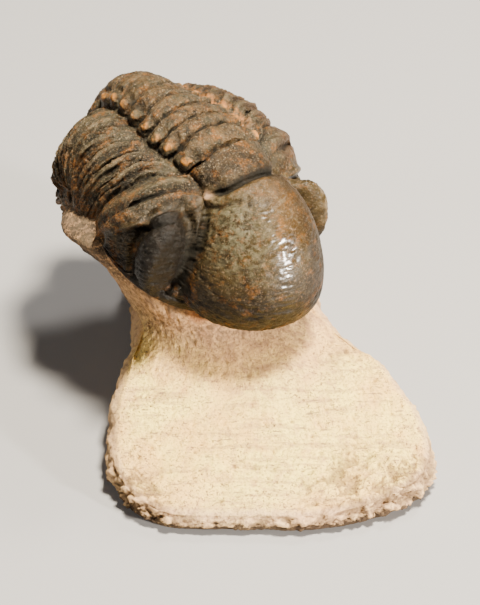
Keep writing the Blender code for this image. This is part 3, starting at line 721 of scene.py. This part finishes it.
def shell_surface():
    """The back at full detail, and the marks for its finish.

    They tell hollows, crests, the beads of the rings, the small lobe beside the glabella and the eyes, and
    how far along the spine and across it each point lies.
    """
    rows = np.concatenate([
        np.linspace(-1, 0, HEAD_ROWS, endpoint=False),
        np.linspace(0, SEGMENTS, SEGMENTS * SEGMENT_ROWS, endpoint=False),
        np.linspace(SEGMENTS, SEGMENTS + 1, TAIL_ROWS),
    ])
    columns = np.linspace(-1, 1, 2 * HALF_COLUMNS + 1)
    points, u, v = smooth_back(rows, columns)
    eyes = 0
    for side in (-1, 1):
        points, face, dome = raise_eye(points, u, v, side)
        points = points + (lens_relief(points, side) * face)[..., None] * outward(points)
        eyes = eyes + dome
    w = np.abs(v)
    sway = lumps(points, WAVER_SIZE, 1, 2)
    w_swayed = w + CROSS_WAVER * lumps(points, CROSS_WAVER_SIZE, 2, 2) * bell(w, 0.5, 0.3)
    place = relief_place(u, w_swayed) + WAVER * sway * (1 - ease(SEGMENTS - 0.5, SEGMENTS - 0.1, u))
    turned = HEAD_FAN + HEAD_SEGMENT * np.minimum(place, 0)
    head = head_relief(head_angle(u), turned, v, w_swayed)
    relief = np.where(place < 0, head, thorax_relief(place, v, w_swayed))
    relief = np.where(u > SEGMENTS, tail_relief(u, w_swayed), relief)
    relief = relief * (1 + UNEVENNESS * lumps(points, UNEVENNESS_SIZE, 3, 2))
    end = SEGMENTS + 1
    fade = (1 - ease(0.96, 1, w)) * ease(-1, -0.96, u) * (1 - ease(end - 0.03, end, u))
    points = points + (relief * fade)[..., None] * outward(points)
    weather = shell_weathering(points, place, u, v, eyes) * fade
    points = points + weather[..., None] * outward(points)
    in_thorax = (place > 0) & (u < SEGMENTS)
    marks = {
        "hollow": depth_mark(-relief, HOLLOW_DEPTH, -weather),
        "crest": depth_mark(relief, CREST_HEIGHT, weather),
        "bead": bell(w, BEAD_PLACE, 0.045) * bell(place - np.floor(place), BEAD_PHASE, 0.24) * in_thorax,
        "lump": bell(w, SIDE_LOBE[2], 0.035) * bell(u, SIDE_LOBE[0] / HEAD_FAN - 1, 0.035) * (v < 0),
        "along": u,
        "across": v,
        "eye": eyes,
    }
    return points, marks


def shell_weathering(points, place, u, v, eyes):
    """Height of the worn calcite's fine relief at each point, in millimetres.

    Wrinkles are strongest on the right of the glabella, strands run along the ribs, granules are on the eyes
    and the slope beside the right one, knobs are behind the head, and pits and dents are all over.
    """
    angle = head_angle(u)
    w = np.abs(v)
    right_share = 1 - ease(-0.15, 0.15, v)
    worn = GLABELLA_WEAR + RIGHT_WEAR * right_share * (1 - ease(60, 75, angle))
    worn = (worn + FRONT_WEAR * (1 - ease(12, 25, angle))) * (1 - 0.8 * bell(w, 0.43, 0.05))
    worn = np.where(u > 0, THORAX_WEAR, worn)
    drawn_out = points * np.array([1, 0.8, 1]) + 0.6 * lumps(points, 1.6, 9, 2)[..., None]
    wrinkles = WRINKLE * (creases(drawn_out, WRINKLE_SIZE, 4) - 0.6) * worn
    strands_at = np.stack([place * 3.3, v * 3.5, place * 0.4], -1)
    strands = RIB_STRANDS * (creases(strands_at, 1, 7, 2) - 0.6)
    strands = strands * ease(0.4, 0.5, w) * ease(-0.1, 0.2, place)
    pits = PITTING * ease(0.1, 0.5, lumps(points, PITTING_SIZE, 5, 2))
    dents = DENT * ease(0.35, 0.7, lumps(points, DENT_SIZE, 6, 2))
    by_eye = bell(v, -0.45, 0.05) * bell(u, -0.62, 0.22) + 0.45 * eyes
    granules = GRANULE * lumps(points, GRANULE_SIZE, 10, 2) * by_eye
    knobs = KNOB * lumps(points, KNOB_SIZE, 8, 2) * ease(-0.1, 0.1, place)
    return (wrinkles + strands) * (1 - 0.7 * eyes) - pits - dents + granules + knobs


def add_piece(name, points, faces, marks, node, finish):
    """Makes a mesh piece that stands for a solid, with one number per point for each of its finish marks."""
    mesh = bpy.data.meshes.new(name)
    mesh.from_pydata((points * MM).tolist(), [], faces)
    mesh.shade_smooth()
    for mark, values in marks.items():
        mesh.attributes.new(mark, "FLOAT", "POINT").data.foreach_set("value", values.astype(np.float32))
    piece = bpy.data.objects.new(name, mesh)
    bpy.context.scene.collection.objects.link(piece)
    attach(piece, "root")
    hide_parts(node)
    mesh.materials.append(finish)
    return piece


def loft_faces(rings, around):
    """Faces of a closed loft: bands between rings of points, and a flat face at each end."""
    i, j = np.meshgrid(np.arange(rings - 1), np.arange(around), indexing="ij")
    k = (j + 1) % around
    bands = np.stack([i * around + j, i * around + k, (i + 1) * around + k, (i + 1) * around + j], -1)
    ends = [list(range(around))[::-1], list(range((rings - 1) * around, rings * around))]
    return ends + bands.reshape(-1, 4).tolist()


def make_shell():
    """The trilobite: its back, closed by a belly that runs straight from margin to margin."""
    back, marks = shell_surface()
    share = np.linspace(0, 1, BELLY_COLUMNS + 2)[1:-1, None]
    belly = back[:, -1, None] + share * (back[:, 0, None] - back[:, -1, None])
    rings = np.concatenate([back, belly], axis=1)
    turn = Euler((radians(-ROLL), radians(-PITCH), radians(YAW - 90))).to_matrix()
    points = rings.reshape(-1, 3) * ANIMAL_SCALE @ np.array(turn).T + np.array(PIVOT_PLACE)
    points[:, :2] -= SPECIMEN_MIDDLE
    ringed = {}
    for name, values in marks.items():
        # The belly is marked as a hollow, so that the finish paints shade over it
        under = np.full(belly.shape[:2], BELLY_SHADE if name == "hollow" else 0.0)
        ringed[name] = np.concatenate([values, under], axis=1).ravel()
    faces = loft_faces(*rings.shape[:2])
    return add_piece("trilobite_shell", points, faces, ringed, "trilobite", calcite_finish())


def slab_edge():
    """Evenly spaced points on a smooth closed curve through the slab's corners, and directions out of it."""
    corners = np.array(SLAB_CORNERS)
    count = len(corners)
    wrapped = [(k, corners[k % count]) for k in range(-2, count + 3)]
    fine = np.linspace(0, count, 1201)
    curve = np.column_stack([through([(k, c[axis]) for k, c in wrapped], fine) for axis in (0, 1)])
    length = np.concatenate([[0], np.cumsum(np.hypot(*np.diff(curve, axis=0).T))])
    even = np.arange(SLAB_POINTS) / SLAB_POINTS * length[-1]
    edge = np.column_stack([np.interp(even, length, curve[:, axis]) for axis in (0, 1)])
    tangent = np.roll(edge, -1, axis=0) - np.roll(edge, 1, axis=0)
    tangent /= np.hypot(*tangent.T)[:, None]
    return edge, np.column_stack([tangent[:, 1], -tangent[:, 0]])


def apron_height(y):
    """Height of the slab's top, which slopes up from the lip and down again behind the neck."""
    rise = LIP_HEIGHT + APRON_SLOPE * (y - FRONT_EDGE)
    return rise - BACK_SLOPE * APRON_SLOPE * np.maximum(y - APRON_TOP, 0)


def neck_outline(direction, middle, half_wide, half_long):
    """Points of a squared oval in the animal's directions, one along each direction from its middle."""
    turn = radians(YAW)
    across = direction @ np.array([np.cos(turn), np.sin(turn)])
    along = direction @ np.array([np.sin(turn), -np.cos(turn)])
    power = NECK_SQUARENESS
    reach = (np.abs(across / half_wide) ** power + np.abs(along / half_long) ** power) ** (-1 / power)
    return np.array(middle) + direction * reach[:, None]


def matrix_rings():
    """The main rings of the rock, from its underside over the rim and the apron up the neck."""
    edge, outward_plan = slab_edge()
    foot_middle = np.array(NECK_FOOT[:2])
    ray = edge - foot_middle
    room = np.hypot(*ray.T)
    direction = ray / room[:, None]
    rings = []
    for inset, share in RIM_RINGS:
        plan = edge - outward_plan * inset
        rings.append(np.column_stack([plan, share * apron_height(plan[:, 1])]))
    shoulder = rings[-1][:, :2]
    foot = neck_outline(direction, NECK_FOOT[:2], *NECK_FOOT[2:])
    margin = FOOT_MARGIN[0] + (FOOT_MARGIN[1] - FOOT_MARGIN[0]) * ease(0.75, 0.97, -direction[:, 0])
    foot_reach = np.minimum(np.hypot(*(foot - foot_middle).T), room - margin)
    foot = foot_middle + direction * foot_reach[:, None]
    for share, lift in TOP_RINGS:
        plan = shoulder + share * (foot - shoulder)
        rings.append(np.column_stack([plan, apron_height(plan[:, 1]) + lift]))
    for height, x, y, half_wide, half_long in NECK:
        plan = neck_outline(direction, (x, y), half_wide, half_long)
        rings.append(np.column_stack([plan, np.full(SLAB_POINTS, height)]))
    return np.array(rings)


def rings_between(rings):
    """Fills in fine rings on smooth curves through the given ones."""
    slopes = np.gradient(rings, axis=0)
    filled = []
    for i, each in enumerate(RINGS_BETWEEN):
        for k in range(each):
            filled.append(cubic(k / each, rings[i], slopes[i], rings[i + 1], slopes[i + 1]))
    return np.array(filled + [rings[-1]])


def loop_normals(rings):
    """Unit normals of closed rings of points."""
    around = np.roll(rings, -1, axis=1) - np.roll(rings, 1, axis=1)
    normal = np.cross(around, np.gradient(rings, axis=0))
    return normal / (np.linalg.norm(normal, axis=2, keepdims=True) + 1e-12)


def rock_relief(points):
    """Broken rim, swells, grain and pits of the limestone, in millimetres out of the smooth rock.

    Also gives the cracks of the rim, 1 at their deepest.
    """
    x, y, z = points[..., 0], points[..., 1], points[..., 2]
    top = np.clip(z / np.maximum(apron_height(y), 0.1), 0, 1.4)
    corners = [bell(x, *across) * bell(y, *along) for across, along in (LEFT_BREAK, RIGHT_BREAK)]
    broken = 0.35 + 0.65 * np.clip(sum(corners), 0, 1)
    rim = ease(0.02, 0.2, top) * (1 - ease(0.75, 1.0, top)) + 0.5 * bell(top, 1, 0.12) * broken
    slab = 1 - ease(8, 13, z)
    lump = lumps(points, RIM_LUMP, 11) * RIM_BREAKAGE
    layered = points * np.array([1, 1, CRUMB_FLATNESS])
    step, crack = blocks(layered, CRUMB_SIZE, 12)
    fine_step, fine_crack = blocks(layered, FINE_CRUMB_SIZE, 16)
    crumb = RIM_CRUMB * (step + 0.4 * fine_step - 0.9 * crack - 0.3 * fine_crack)
    breakage = rim * slab * broken
    grain = GRAIN * lumps(points, GRAIN_SIZE, 13, 3)
    pits = PIT_DEPTH * spots(points, PIT_SPACING, 14, PIT_SHARE)
    swell = SWELL * lumps(points, SWELL_SIZE, 15, 2)
    above_underside = ease(0.0, 0.6, z)
    relief = above_underside * (breakage * (lump + crumb) + grain - pits + swell)
    return relief, breakage * np.maximum(crack, fine_crack * 0.6)


def shell_tree(shell):
    """The shell's faces in millimetres, to find the nearest one to a point."""
    vertices = [vertex.co / MM for vertex in shell.data.vertices]
    return BVHTree.FromPolygons(vertices, [tuple(face.vertices) for face in shell.data.polygons])


def tuck_under_shell(points, tree):
    """Sinks the rock beside and just under the shell's flanks, so that its margin meets the rock cleanly.

    Also gives how far each point was from the shell. The first two faces of the shell are its flat ends.
    """
    near = np.empty(len(points))
    moved = points.copy()
    around = 2 * HALF_COLUMNS + 1 + BELLY_COLUMNS
    for i, point in enumerate(points):
        place, normal, face, distance = tree.find_nearest(Vector(point))
        inside = (Vector(point) - place).dot(normal) < 0
        near[i] = -distance if inside else distance
        row, column = divmod(face - 2, around)
        margin = MARGIN_COLUMNS + NOOK_COLUMNS * float(bell(row, HEAD_ROWS + NOOK_ROWS / 2, NOOK_ROWS))
        on_back = margin < column < 2 * HALF_COLUMNS - margin and row > FRONT_ROWS
        if on_back and near[i] > -SHELL_CLEARANCE:
            sunk = 1 - float(ease(SHELL_CLEARANCE, 2 * SHELL_CLEARANCE, near[i]))
            moved[i] = point + (np.array(place - normal * SHELL_CLEARANCE) - point) * sunk
    return moved, near


def make_rock(shell):
    """The limestone, fitted under the shell, and the marks for its finish."""
    smooth = rings_between(matrix_rings())
    relief, cracks = rock_relief(smooth)
    tree = shell_tree(shell)
    placed = smooth - np.array([*SPECIMEN_MIDDLE, 0])
    gap_to_shell = np.array([tree.find_nearest(Vector(p))[3] for p in placed.reshape(-1, 3)])
    clear_of_shell = ease(0.4, 1.6, gap_to_shell.reshape(relief.shape))
    relief *= 0.2 + 0.8 * clear_of_shell
    rings = placed + relief[..., None] * loop_normals(smooth)
    rings[..., 2] = np.maximum(rings[..., 2], 0)
    points, gap_to_shell = tuck_under_shell(rings.reshape(-1, 3), tree)
    edge_ring = smooth[sum(RINGS_BETWEEN[:2]), :, :2]
    inset = np.linalg.norm(smooth[..., :2] - edge_ring, axis=2)
    marks = {
        "hollow": np.clip(-relief / ROCK_HOLLOW_DEPTH, 0, 1).ravel(),
        "crack": cracks.ravel(),
        "neck": ease(0.3, 3.8, rings[..., 2] - apron_height(smooth[..., 1])).ravel(),
        "low": 1 - ease(0.3, 2.6, rings[..., 2]).ravel(),
        "high": ease(14.0, 18.0, rings[..., 2]).ravel(),
        "worn": 1 - ease(0.0, 7.0, inset).ravel(),
        "contact": 1 - ease(0.2, 3.0, gap_to_shell),
        "beside": 1 - ease(1.0, 11.0, gap_to_shell),
    }
    faces = loft_faces(*rings.shape[:2])
    return add_piece("limestone_matrix", points, faces, marks, "matrix", limestone_finish())


class Term:
    """A number that a material works out, as one node's output. Arithmetic on it adds Math nodes."""

    def __init__(self, finish, output):
        self.finish = finish
        self.output = output

    def __add__(self, other):
        return self.finish.math("ADD", self, other)

    def __radd__(self, other):
        return self.finish.math("ADD", other, self)

    def __sub__(self, other):
        return self.finish.math("SUBTRACT", self, other)

    def __rsub__(self, other):
        return self.finish.math("SUBTRACT", other, self)

    def __mul__(self, other):
        return self.finish.math("MULTIPLY", self, other)

    def __rmul__(self, other):
        return self.finish.math("MULTIPLY", other, self)


class Finish:
    """One material: its shader and the nodes that feed it. Sizes are in millimetres."""

    def __init__(self, name):
        self.material = bpy.data.materials.new(name)
        self.material.use_nodes = True
        self.tree = self.material.node_tree
        self.shader = self.tree.nodes["Principled BSDF"]
        place = self.node("TexCoord", {}, {}, "Object")
        self.place = self.node("VectorMath", {"operation": "SCALE"}, {0: place, "Scale": 1 / MM}, 0)

    def node(self, kind, settings, sockets, output=0):
        """Adds a node, sets it up, then sets or links its sockets, and gives one of its outputs."""
        node = self.tree.nodes.new("ShaderNode" + kind)
        for name, value in settings.items():
            setattr(node, name, value)
        for key, value in sockets.items():
            self.feed(node.inputs[key], value)
        return Term(self, node.outputs[output])

    def feed(self, socket, value):
        """Links a term to a socket, or sets the socket to a number or a colour."""
        if isinstance(value, Term):
            self.tree.links.new(value.output, socket)
        elif socket.type == "RGBA":
            socket.default_value = (*value, 1)
        else:
            socket.default_value = value

    def set(self, **values):
        """Sets or links the shader's sockets, named with _ for a space."""
        for name, value in values.items():
            self.feed(self.shader.inputs[name.replace("_", " ")], value)

    def math(self, operation, first, second):
        return self.node("Math", {"operation": operation}, {0: first, 1: second})

    def noise(self, size, detail=3.0, roughness=0.55, squeeze=(1, 1, 1)):
        """Soft noise, about 0.3 to 0.7, with features of a size, drawn out along axes with a low squeeze."""
        place = self.node("VectorMath", {"operation": "MULTIPLY"}, {0: self.place, 1: squeeze})
        return self.node("TexNoise", {}, {"Vector": place, "Scale": 1 / size, "Detail": detail,
                                          "Roughness": roughness})

    def specks(self, spacing):
        """Distance from the middles of scattered cells."""
        return self.node("TexVoronoi", {}, {"Vector": self.place, "Scale": 1 / spacing})

    def mark(self, name):
        """One of the numbers that the mesh carries at each point."""
        return self.node("Attribute", {"attribute_name": name}, {}, "Fac")

    def rise(self, value, low, high):
        """Goes smoothly from 0 to 1 as a value goes from low to high."""
        return self.node("MapRange", {"interpolation_type": "SMOOTHSTEP"},
                         {"Value": value, "From Min": low, "From Max": high})

    def bump_at(self, value, centre, width):
        """A smooth hump of height 1 where a value is near centre."""
        return self.rise(value, centre - width, centre) * (1 - self.rise(value, centre, centre + width))

    def mix(self, share, first, second):
        """A colour from the first, at a share of 0, to the second, at 1."""
        return self.node("Mix", {"data_type": "RGBA"}, {0: share, 6: first, 7: second}, 2)

    def paint(self, share, tint):
        """Lays a tint over the colour so far, as strongly as the share says."""
        self.colour = self.mix(share, self.colour, tint)

    def bump(self, height, distance, strength):
        """Fine relief that the mesh is too coarse for; distance is how far a height of 1 stands up."""
        return self.node("Bump", {}, {"Height": height, "Distance": distance * MM, "Strength": strength})


def calcite_finish():
    """Worn brown calcite: grey on the ribs, olive on the glabella, iron stains, painted highlight on its
    crests and as pale specks, and painted shade in its furrows, over the belly, on the low front, the right
    cheek, and the right eye and its slope.
    """
    shell = Finish("brown_calcite")
    hollow, crest, bead = shell.mark("hollow"), shell.mark("crest"), shell.mark("bead")
    along, across, eye = shell.mark("along"), shell.mark("across"), shell.mark("eye")

    def area(across_place, along_place):
        """A soft spot, from its middle and half width across the shell and along it."""
        return shell.bump_at(across, *across_place) * shell.bump_at(along, *along_place)

    patches = shell.rise(shell.noise(3.5, 3), 0.35, 0.65)
    mottle = shell.noise(0.9, 4, 0.65)
    fine = shell.noise(0.28, 3, 0.7)
    in_head = 1 - shell.rise(along, -0.25, -0.05)
    front_bottom = 1 - shell.rise(along, -0.8, -0.62)
    right_cheek_shade = (1 - shell.rise(across, -0.42, -0.36)) * in_head
    left_flank = shell.rise(across, -0.02, 0.08) * (1 - shell.rise(across, 0.4, 0.46)) * in_head
    left_eye = shell.rise(across, 0.42, 0.5) * shell.bump_at(along, -0.58, 0.2)
    right_eye = eye * (1 - shell.rise(across, -0.1, 0.1))
    eye_slope = area((-0.45, 0.07), (-0.62, 0.3))
    axis = shell.bump_at(across, -0.02, 0.4) * (1 - shell.bump_at(along, -0.6, 0.5))
    ring_back = shell.bump_at(along, -0.12, 0.16) * axis
    rib_ends = (1 - shell.rise(across, -0.86, -0.68)) * (1 - in_head)
    far_side = shell.rise(across, 0.45, 0.7) * (1 - in_head)
    furrow_line = shell.bump_at(across, 0.4, 0.09) * shell.rise(along, 0.5, 1.5)

    shell.colour = shell.mix(in_head, shell.mix(patches, *GREY_SHELL), shell.mix(patches, *OLIVE_SHELL))
    shell.paint(area((-0.25, 0.22), (-0.42, 0.3)) * shell.rise(mottle, 0.38, 0.6), GREY_GREEN)
    shell.paint(area((0.15, 0.3), (-0.36, 0.2)) * 0.75, OCHRE)
    shell.paint(axis * shell.rise(mottle, 0.4, 0.56) * 0.7, AXIS_BROWN)
    smudge = shell.rise(shell.noise(0.6, 5, 0.75), 0.48, 0.6)
    shell.paint(smudge * (0.65 - 0.35 * in_head), SMUDGE_BROWN)
    shell.paint(shell.rise(mottle, 0.52, 0.7) * 0.4, MOTTLE_BUFF)
    # Painted highlight along the raised crests, stronger on the axis
    shell.paint(shell.rise(crest, 0.25, 1.0) * (0.25 + 0.25 * axis), CREST_HIGHLIGHT)
    shell.paint(shell.rise(fine, 0.56, 0.7) * 0.55, FINE_BUFF)
    shell.paint(left_flank * 0.8 + ring_back * 0.85, FLANK_BROWN)
    # Painted shade on the right cheek
    shell.paint(right_cheek_shade * 0.6, CHEEK_SHADE)
    # Painted shade on the low front of the head
    shell.paint(front_bottom * 0.85, LOW_FRONT_SHADE)
    # Lighter gold-brown on the left eye: its own tone and a painted highlight
    shell.paint(left_eye * shell.rise(mottle, 0.36, 0.56) * 0.8, LEFT_EYE_HIGHLIGHT_BROWN)

    powdery = 0.25 + 0.75 * shell.rise(shell.noise(0.25, 3, 0.7), 0.42, 0.58)
    stain = shell.rise(shell.noise(1.6, 4, 0.7), 0.5, 0.7) * powdery
    shell.paint(stain * (0.9 - 0.3 * in_head), IRON_STAIN)
    # Pale specks that stand in for glints: painted highlight, fewer on the head and its low front
    painted_glints = shell.rise(shell.noise(0.19, 2, 0.6), 0.58, 0.68)
    shell.paint(painted_glints * (0.5 - 0.3 * in_head - 0.15 * front_bottom), PAINTED_GLINT)
    shell.paint(furrow_line * shell.rise(mottle, 0.4, 0.6) * 0.8, FURROW_ORANGE)
    shell.paint(shell.rise(bead, 0.3, 0.8) * shell.rise(mottle, 0.36, 0.55), BEAD_ORANGE)
    shell.paint(shell.mark("lump") * shell.rise(mottle, 0.36, 0.56) * 0.9, LOBE_PINK)
    rust = shell.rise(shell.noise(0.9, 4, 0.7), 0.46, 0.6)
    shell.paint(rib_ends * rust * powdery * 0.7, RIB_END_RUST)
    # Painted shade over the right eye
    shell.paint(right_eye * 0.94, EYE_SHADE)
    shell.paint(right_eye * shell.rise(fine, 0.56, 0.68) * 0.3, EYE_FLECK)
    # Painted shade on the slope between the right eye and the glabella
    shell.paint(eye_slope * 0.85, EYE_SLOPE_SHADE)
    shell.paint(far_side * 0.5, FAR_SIDE_BROWN)
    # Painted shade in the furrows and over the belly, which are also made rougher
    dark = shell.rise(hollow, 0.12, 0.75)
    shell.paint(dark * 0.9, HOLLOW_SHADE)

    polished = area((-0.04, 0.22), (-0.56, 0.24)) + area((0.6, 0.16), (-0.4, 0.36))
    grain = shell.noise(0.16, 4, 0.6) + shell.noise(0.4, 2) * 0.8 - shell.rise(fine, 0.5, 0.75) * 0.5
    relief = grain * (2.2 - 1.2 * in_head - 0.6 * polished + 0.8 * right_eye)
    gloss = shell.noise(0.6, 3, 0.6)
    roughness = 0.22 + 0.36 * gloss + 0.3 * dark - 0.1 * polished - 0.04 * right_eye + 0.3 * eye_slope
    shell.set(Base_Color=shell.colour, Roughness=roughness, Normal=shell.bump(relief, 0.07, 1.0),
              Specular_IOR_Level=0.15, Coat_Weight=0.65 * polished, Coat_Roughness=0.2)
    return shell.material


def limestone_finish():
    """Abraded cream limestone: yellow and pink clouds, dark specks, faint bedding and warmer edges, with
    painted shade in its cracks and sunk places, under its lip, up the neck and beside the shell.
    """
    stone = Finish("cream_limestone")
    contact, beside, worn = stone.mark("contact"), stone.mark("beside"), stone.mark("worn")
    on_neck, high = stone.mark("neck"), stone.mark("high")
    clouds = stone.noise(7.0, 3)
    mottle = stone.noise(1.4, 4, 0.6)
    fine = stone.noise(0.35, 3, 0.65)

    stone.colour = stone.mix(stone.rise(clouds, 0.35, 0.65), *CREAM)
    stone.paint(stone.rise(mottle, 0.5, 0.7) * 0.6, MOTTLE_TAN)
    stone.paint(stone.rise(stone.noise(4.5, 4, 0.65), 0.56, 0.7) * 0.5, OCHRE_CLOUD)
    bedding = stone.noise(1.2, 3, 0.6, squeeze=(0.18, 1.6, 1.6))
    stone.paint(stone.rise(bedding, 0.5, 0.66) * 0.6, BEDDING_BROWN)
    stone.paint(stone.rise(fine, 0.52, 0.7) * 0.55, FINE_TAN)
    dirty = stone.rise(stone.noise(2.5, 3, 0.6) + worn * 0.32 + beside * 0.12, 0.46, 0.68)
    grit = stone.rise(stone.noise(0.3, 3, 0.7), 0.55, 0.64)
    stone.paint(grit * (0.3 + 0.6 * dirty), GRIT_BROWN)
    speck = 1 - stone.rise(stone.specks(0.7), 0.08, 0.2)
    stone.paint(speck * (0.4 + 0.6 * dirty), SPECK_BROWN)
    dash = stone.rise(stone.noise(0.5, 2, 0.5, squeeze=(0.3, 1.3, 1.3)), 0.64, 0.7)
    stone.paint(dash * 0.75, DASH_BROWN)
    # Painted shade in the cracks of the broken rim
    stone.paint(stone.mark("crack") * 0.95, CRACK_SHADE)

    # Warmer tan: the rock's own tone on its edges, and a painted shade tint beside the shell and up the neck
    stone.paint(beside * 0.5 + worn * 0.3 + on_neck * 0.5, EDGE_TAN_AND_SHADE_TINT)
    stone.paint(stone.rise(worn, 0.84, 0.96) * 0.6, SIDE_TAN)
    shade = beside * (0.35 + 0.65 * stone.rise(mottle, 0.4, 0.62))
    stone.paint(shade * 0.8, SHADE_BROWN)
    # Painted shade up the neck, stronger at its top under the shell, laid in grey mottles, specks and patches
    neck = on_neck * (0.3 + 0.7 * stone.rise(stone.noise(0.8, 4, 0.7), 0.42, 0.58))
    stone.paint(neck * (0.6 + 0.3 * high), NECK_GREY_SHADE)
    neck_specks_and_shade = on_neck * stone.rise(stone.noise(0.6, 4, 0.7), 0.46, 0.58)
    stone.paint(neck_specks_and_shade * (0.5 + 0.5 * high), NECK_SPECKS_AND_SHADE)
    neck_top_patches = stone.rise(stone.noise(0.45, 3, 0.7), 0.46, 0.56)
    stone.paint(high * neck_top_patches * 0.75, NECK_TOP_SHADE)
    # Painted shade on the rock where it meets the shell
    stone.paint(contact * stone.rise(mottle, 0.35, 0.6) * 0.6, CONTACT_SHADE)
    stone.paint(contact * stone.rise(clouds, 0.52, 0.66) * 0.6, CONTACT_RUST)
    # Painted shade where the rock's surface is sunk
    stone.paint(stone.rise(stone.mark("hollow"), 0.3, 1.0) * 0.6, ROCK_SUNK_SHADE)
    # Painted shade along the underside of the lip, near the floor
    under_edge_shade = stone.rise(stone.mark("low") + (stone.noise(1.0, 4, 0.7) - 0.5) * 1.6, 0.55, 0.8)
    stone.paint(under_edge_shade * 0.9, UNDER_EDGE_SHADE)

    relief = stone.noise(0.2, 4, 0.65) + stone.noise(0.5, 2) * 0.8 - grit * 0.4
    stone.set(Base_Color=stone.colour, Roughness=0.82 + 0.12 * fine, Normal=stone.bump(relief, 0.16, 0.9),
              Specular_IOR_Level=0.25)
    return stone.material


def make_floor():
    bpy.ops.mesh.primitive_plane_add(size=FLOOR_SIZE)
    floor = bpy.context.object
    floor.name = "floor"
    pale = Finish("pale_floor")
    pale.set(Base_Color=FLOOR_COLOUR, Roughness=FLOOR_ROUGHNESS)
    floor.data.materials.append(pale.material)


def make_lamp(name, place, size, power, colour):
    """A soft square lamp, aimed at the middle of the specimen."""
    light = bpy.data.lights.new(name, "AREA")
    light.size = size * MM
    light.energy = power
    light.color = colour
    lamp = bpy.data.objects.new(name, light)
    lamp.location = Vector(place) * MM
    aim = Vector(LAMP_TARGET) * MM - lamp.location
    lamp.rotation_euler = aim.to_track_quat("-Z", "Y").to_euler()
    bpy.context.scene.collection.objects.link(lamp)


def light_scene():
    world = bpy.data.worlds.new("studio")
    bpy.context.scene.world = world
    world.use_nodes = True
    surround = world.node_tree.nodes["Background"].inputs
    surround["Color"].default_value = SURROUND_COLOUR
    surround["Strength"].default_value = SURROUND_STRENGTH
    for name, settings in LAMPS.items():
        make_lamp(name, *settings)


def set_camera():
    data = bpy.data.cameras.new("camera")
    camera = bpy.data.objects.new("camera", data)
    bpy.context.scene.collection.objects.link(camera)
    raised = radians(CAMERA_ELEVATION)
    back = Vector((0, -cos(raised), sin(raised)))
    right = Vector((1, 0, 0))
    up = back.cross(right)
    target = Vector((CAMERA_TARGET[0] - SPECIMEN_MIDDLE[0], CAMERA_TARGET[1] - SPECIMEN_MIDDLE[1], 0))
    camera.location = (target + back * CAMERA_DISTANCE) * MM
    camera.rotation_euler = Matrix((right, up, back)).transposed().to_euler()
    data.angle = 2 * atan(VIEW_HEIGHT / 2 / CAMERA_DISTANCE)
    bpy.context.scene.camera = camera


set_camera()
light_scene()
make_floor()
make_rock(make_shell())
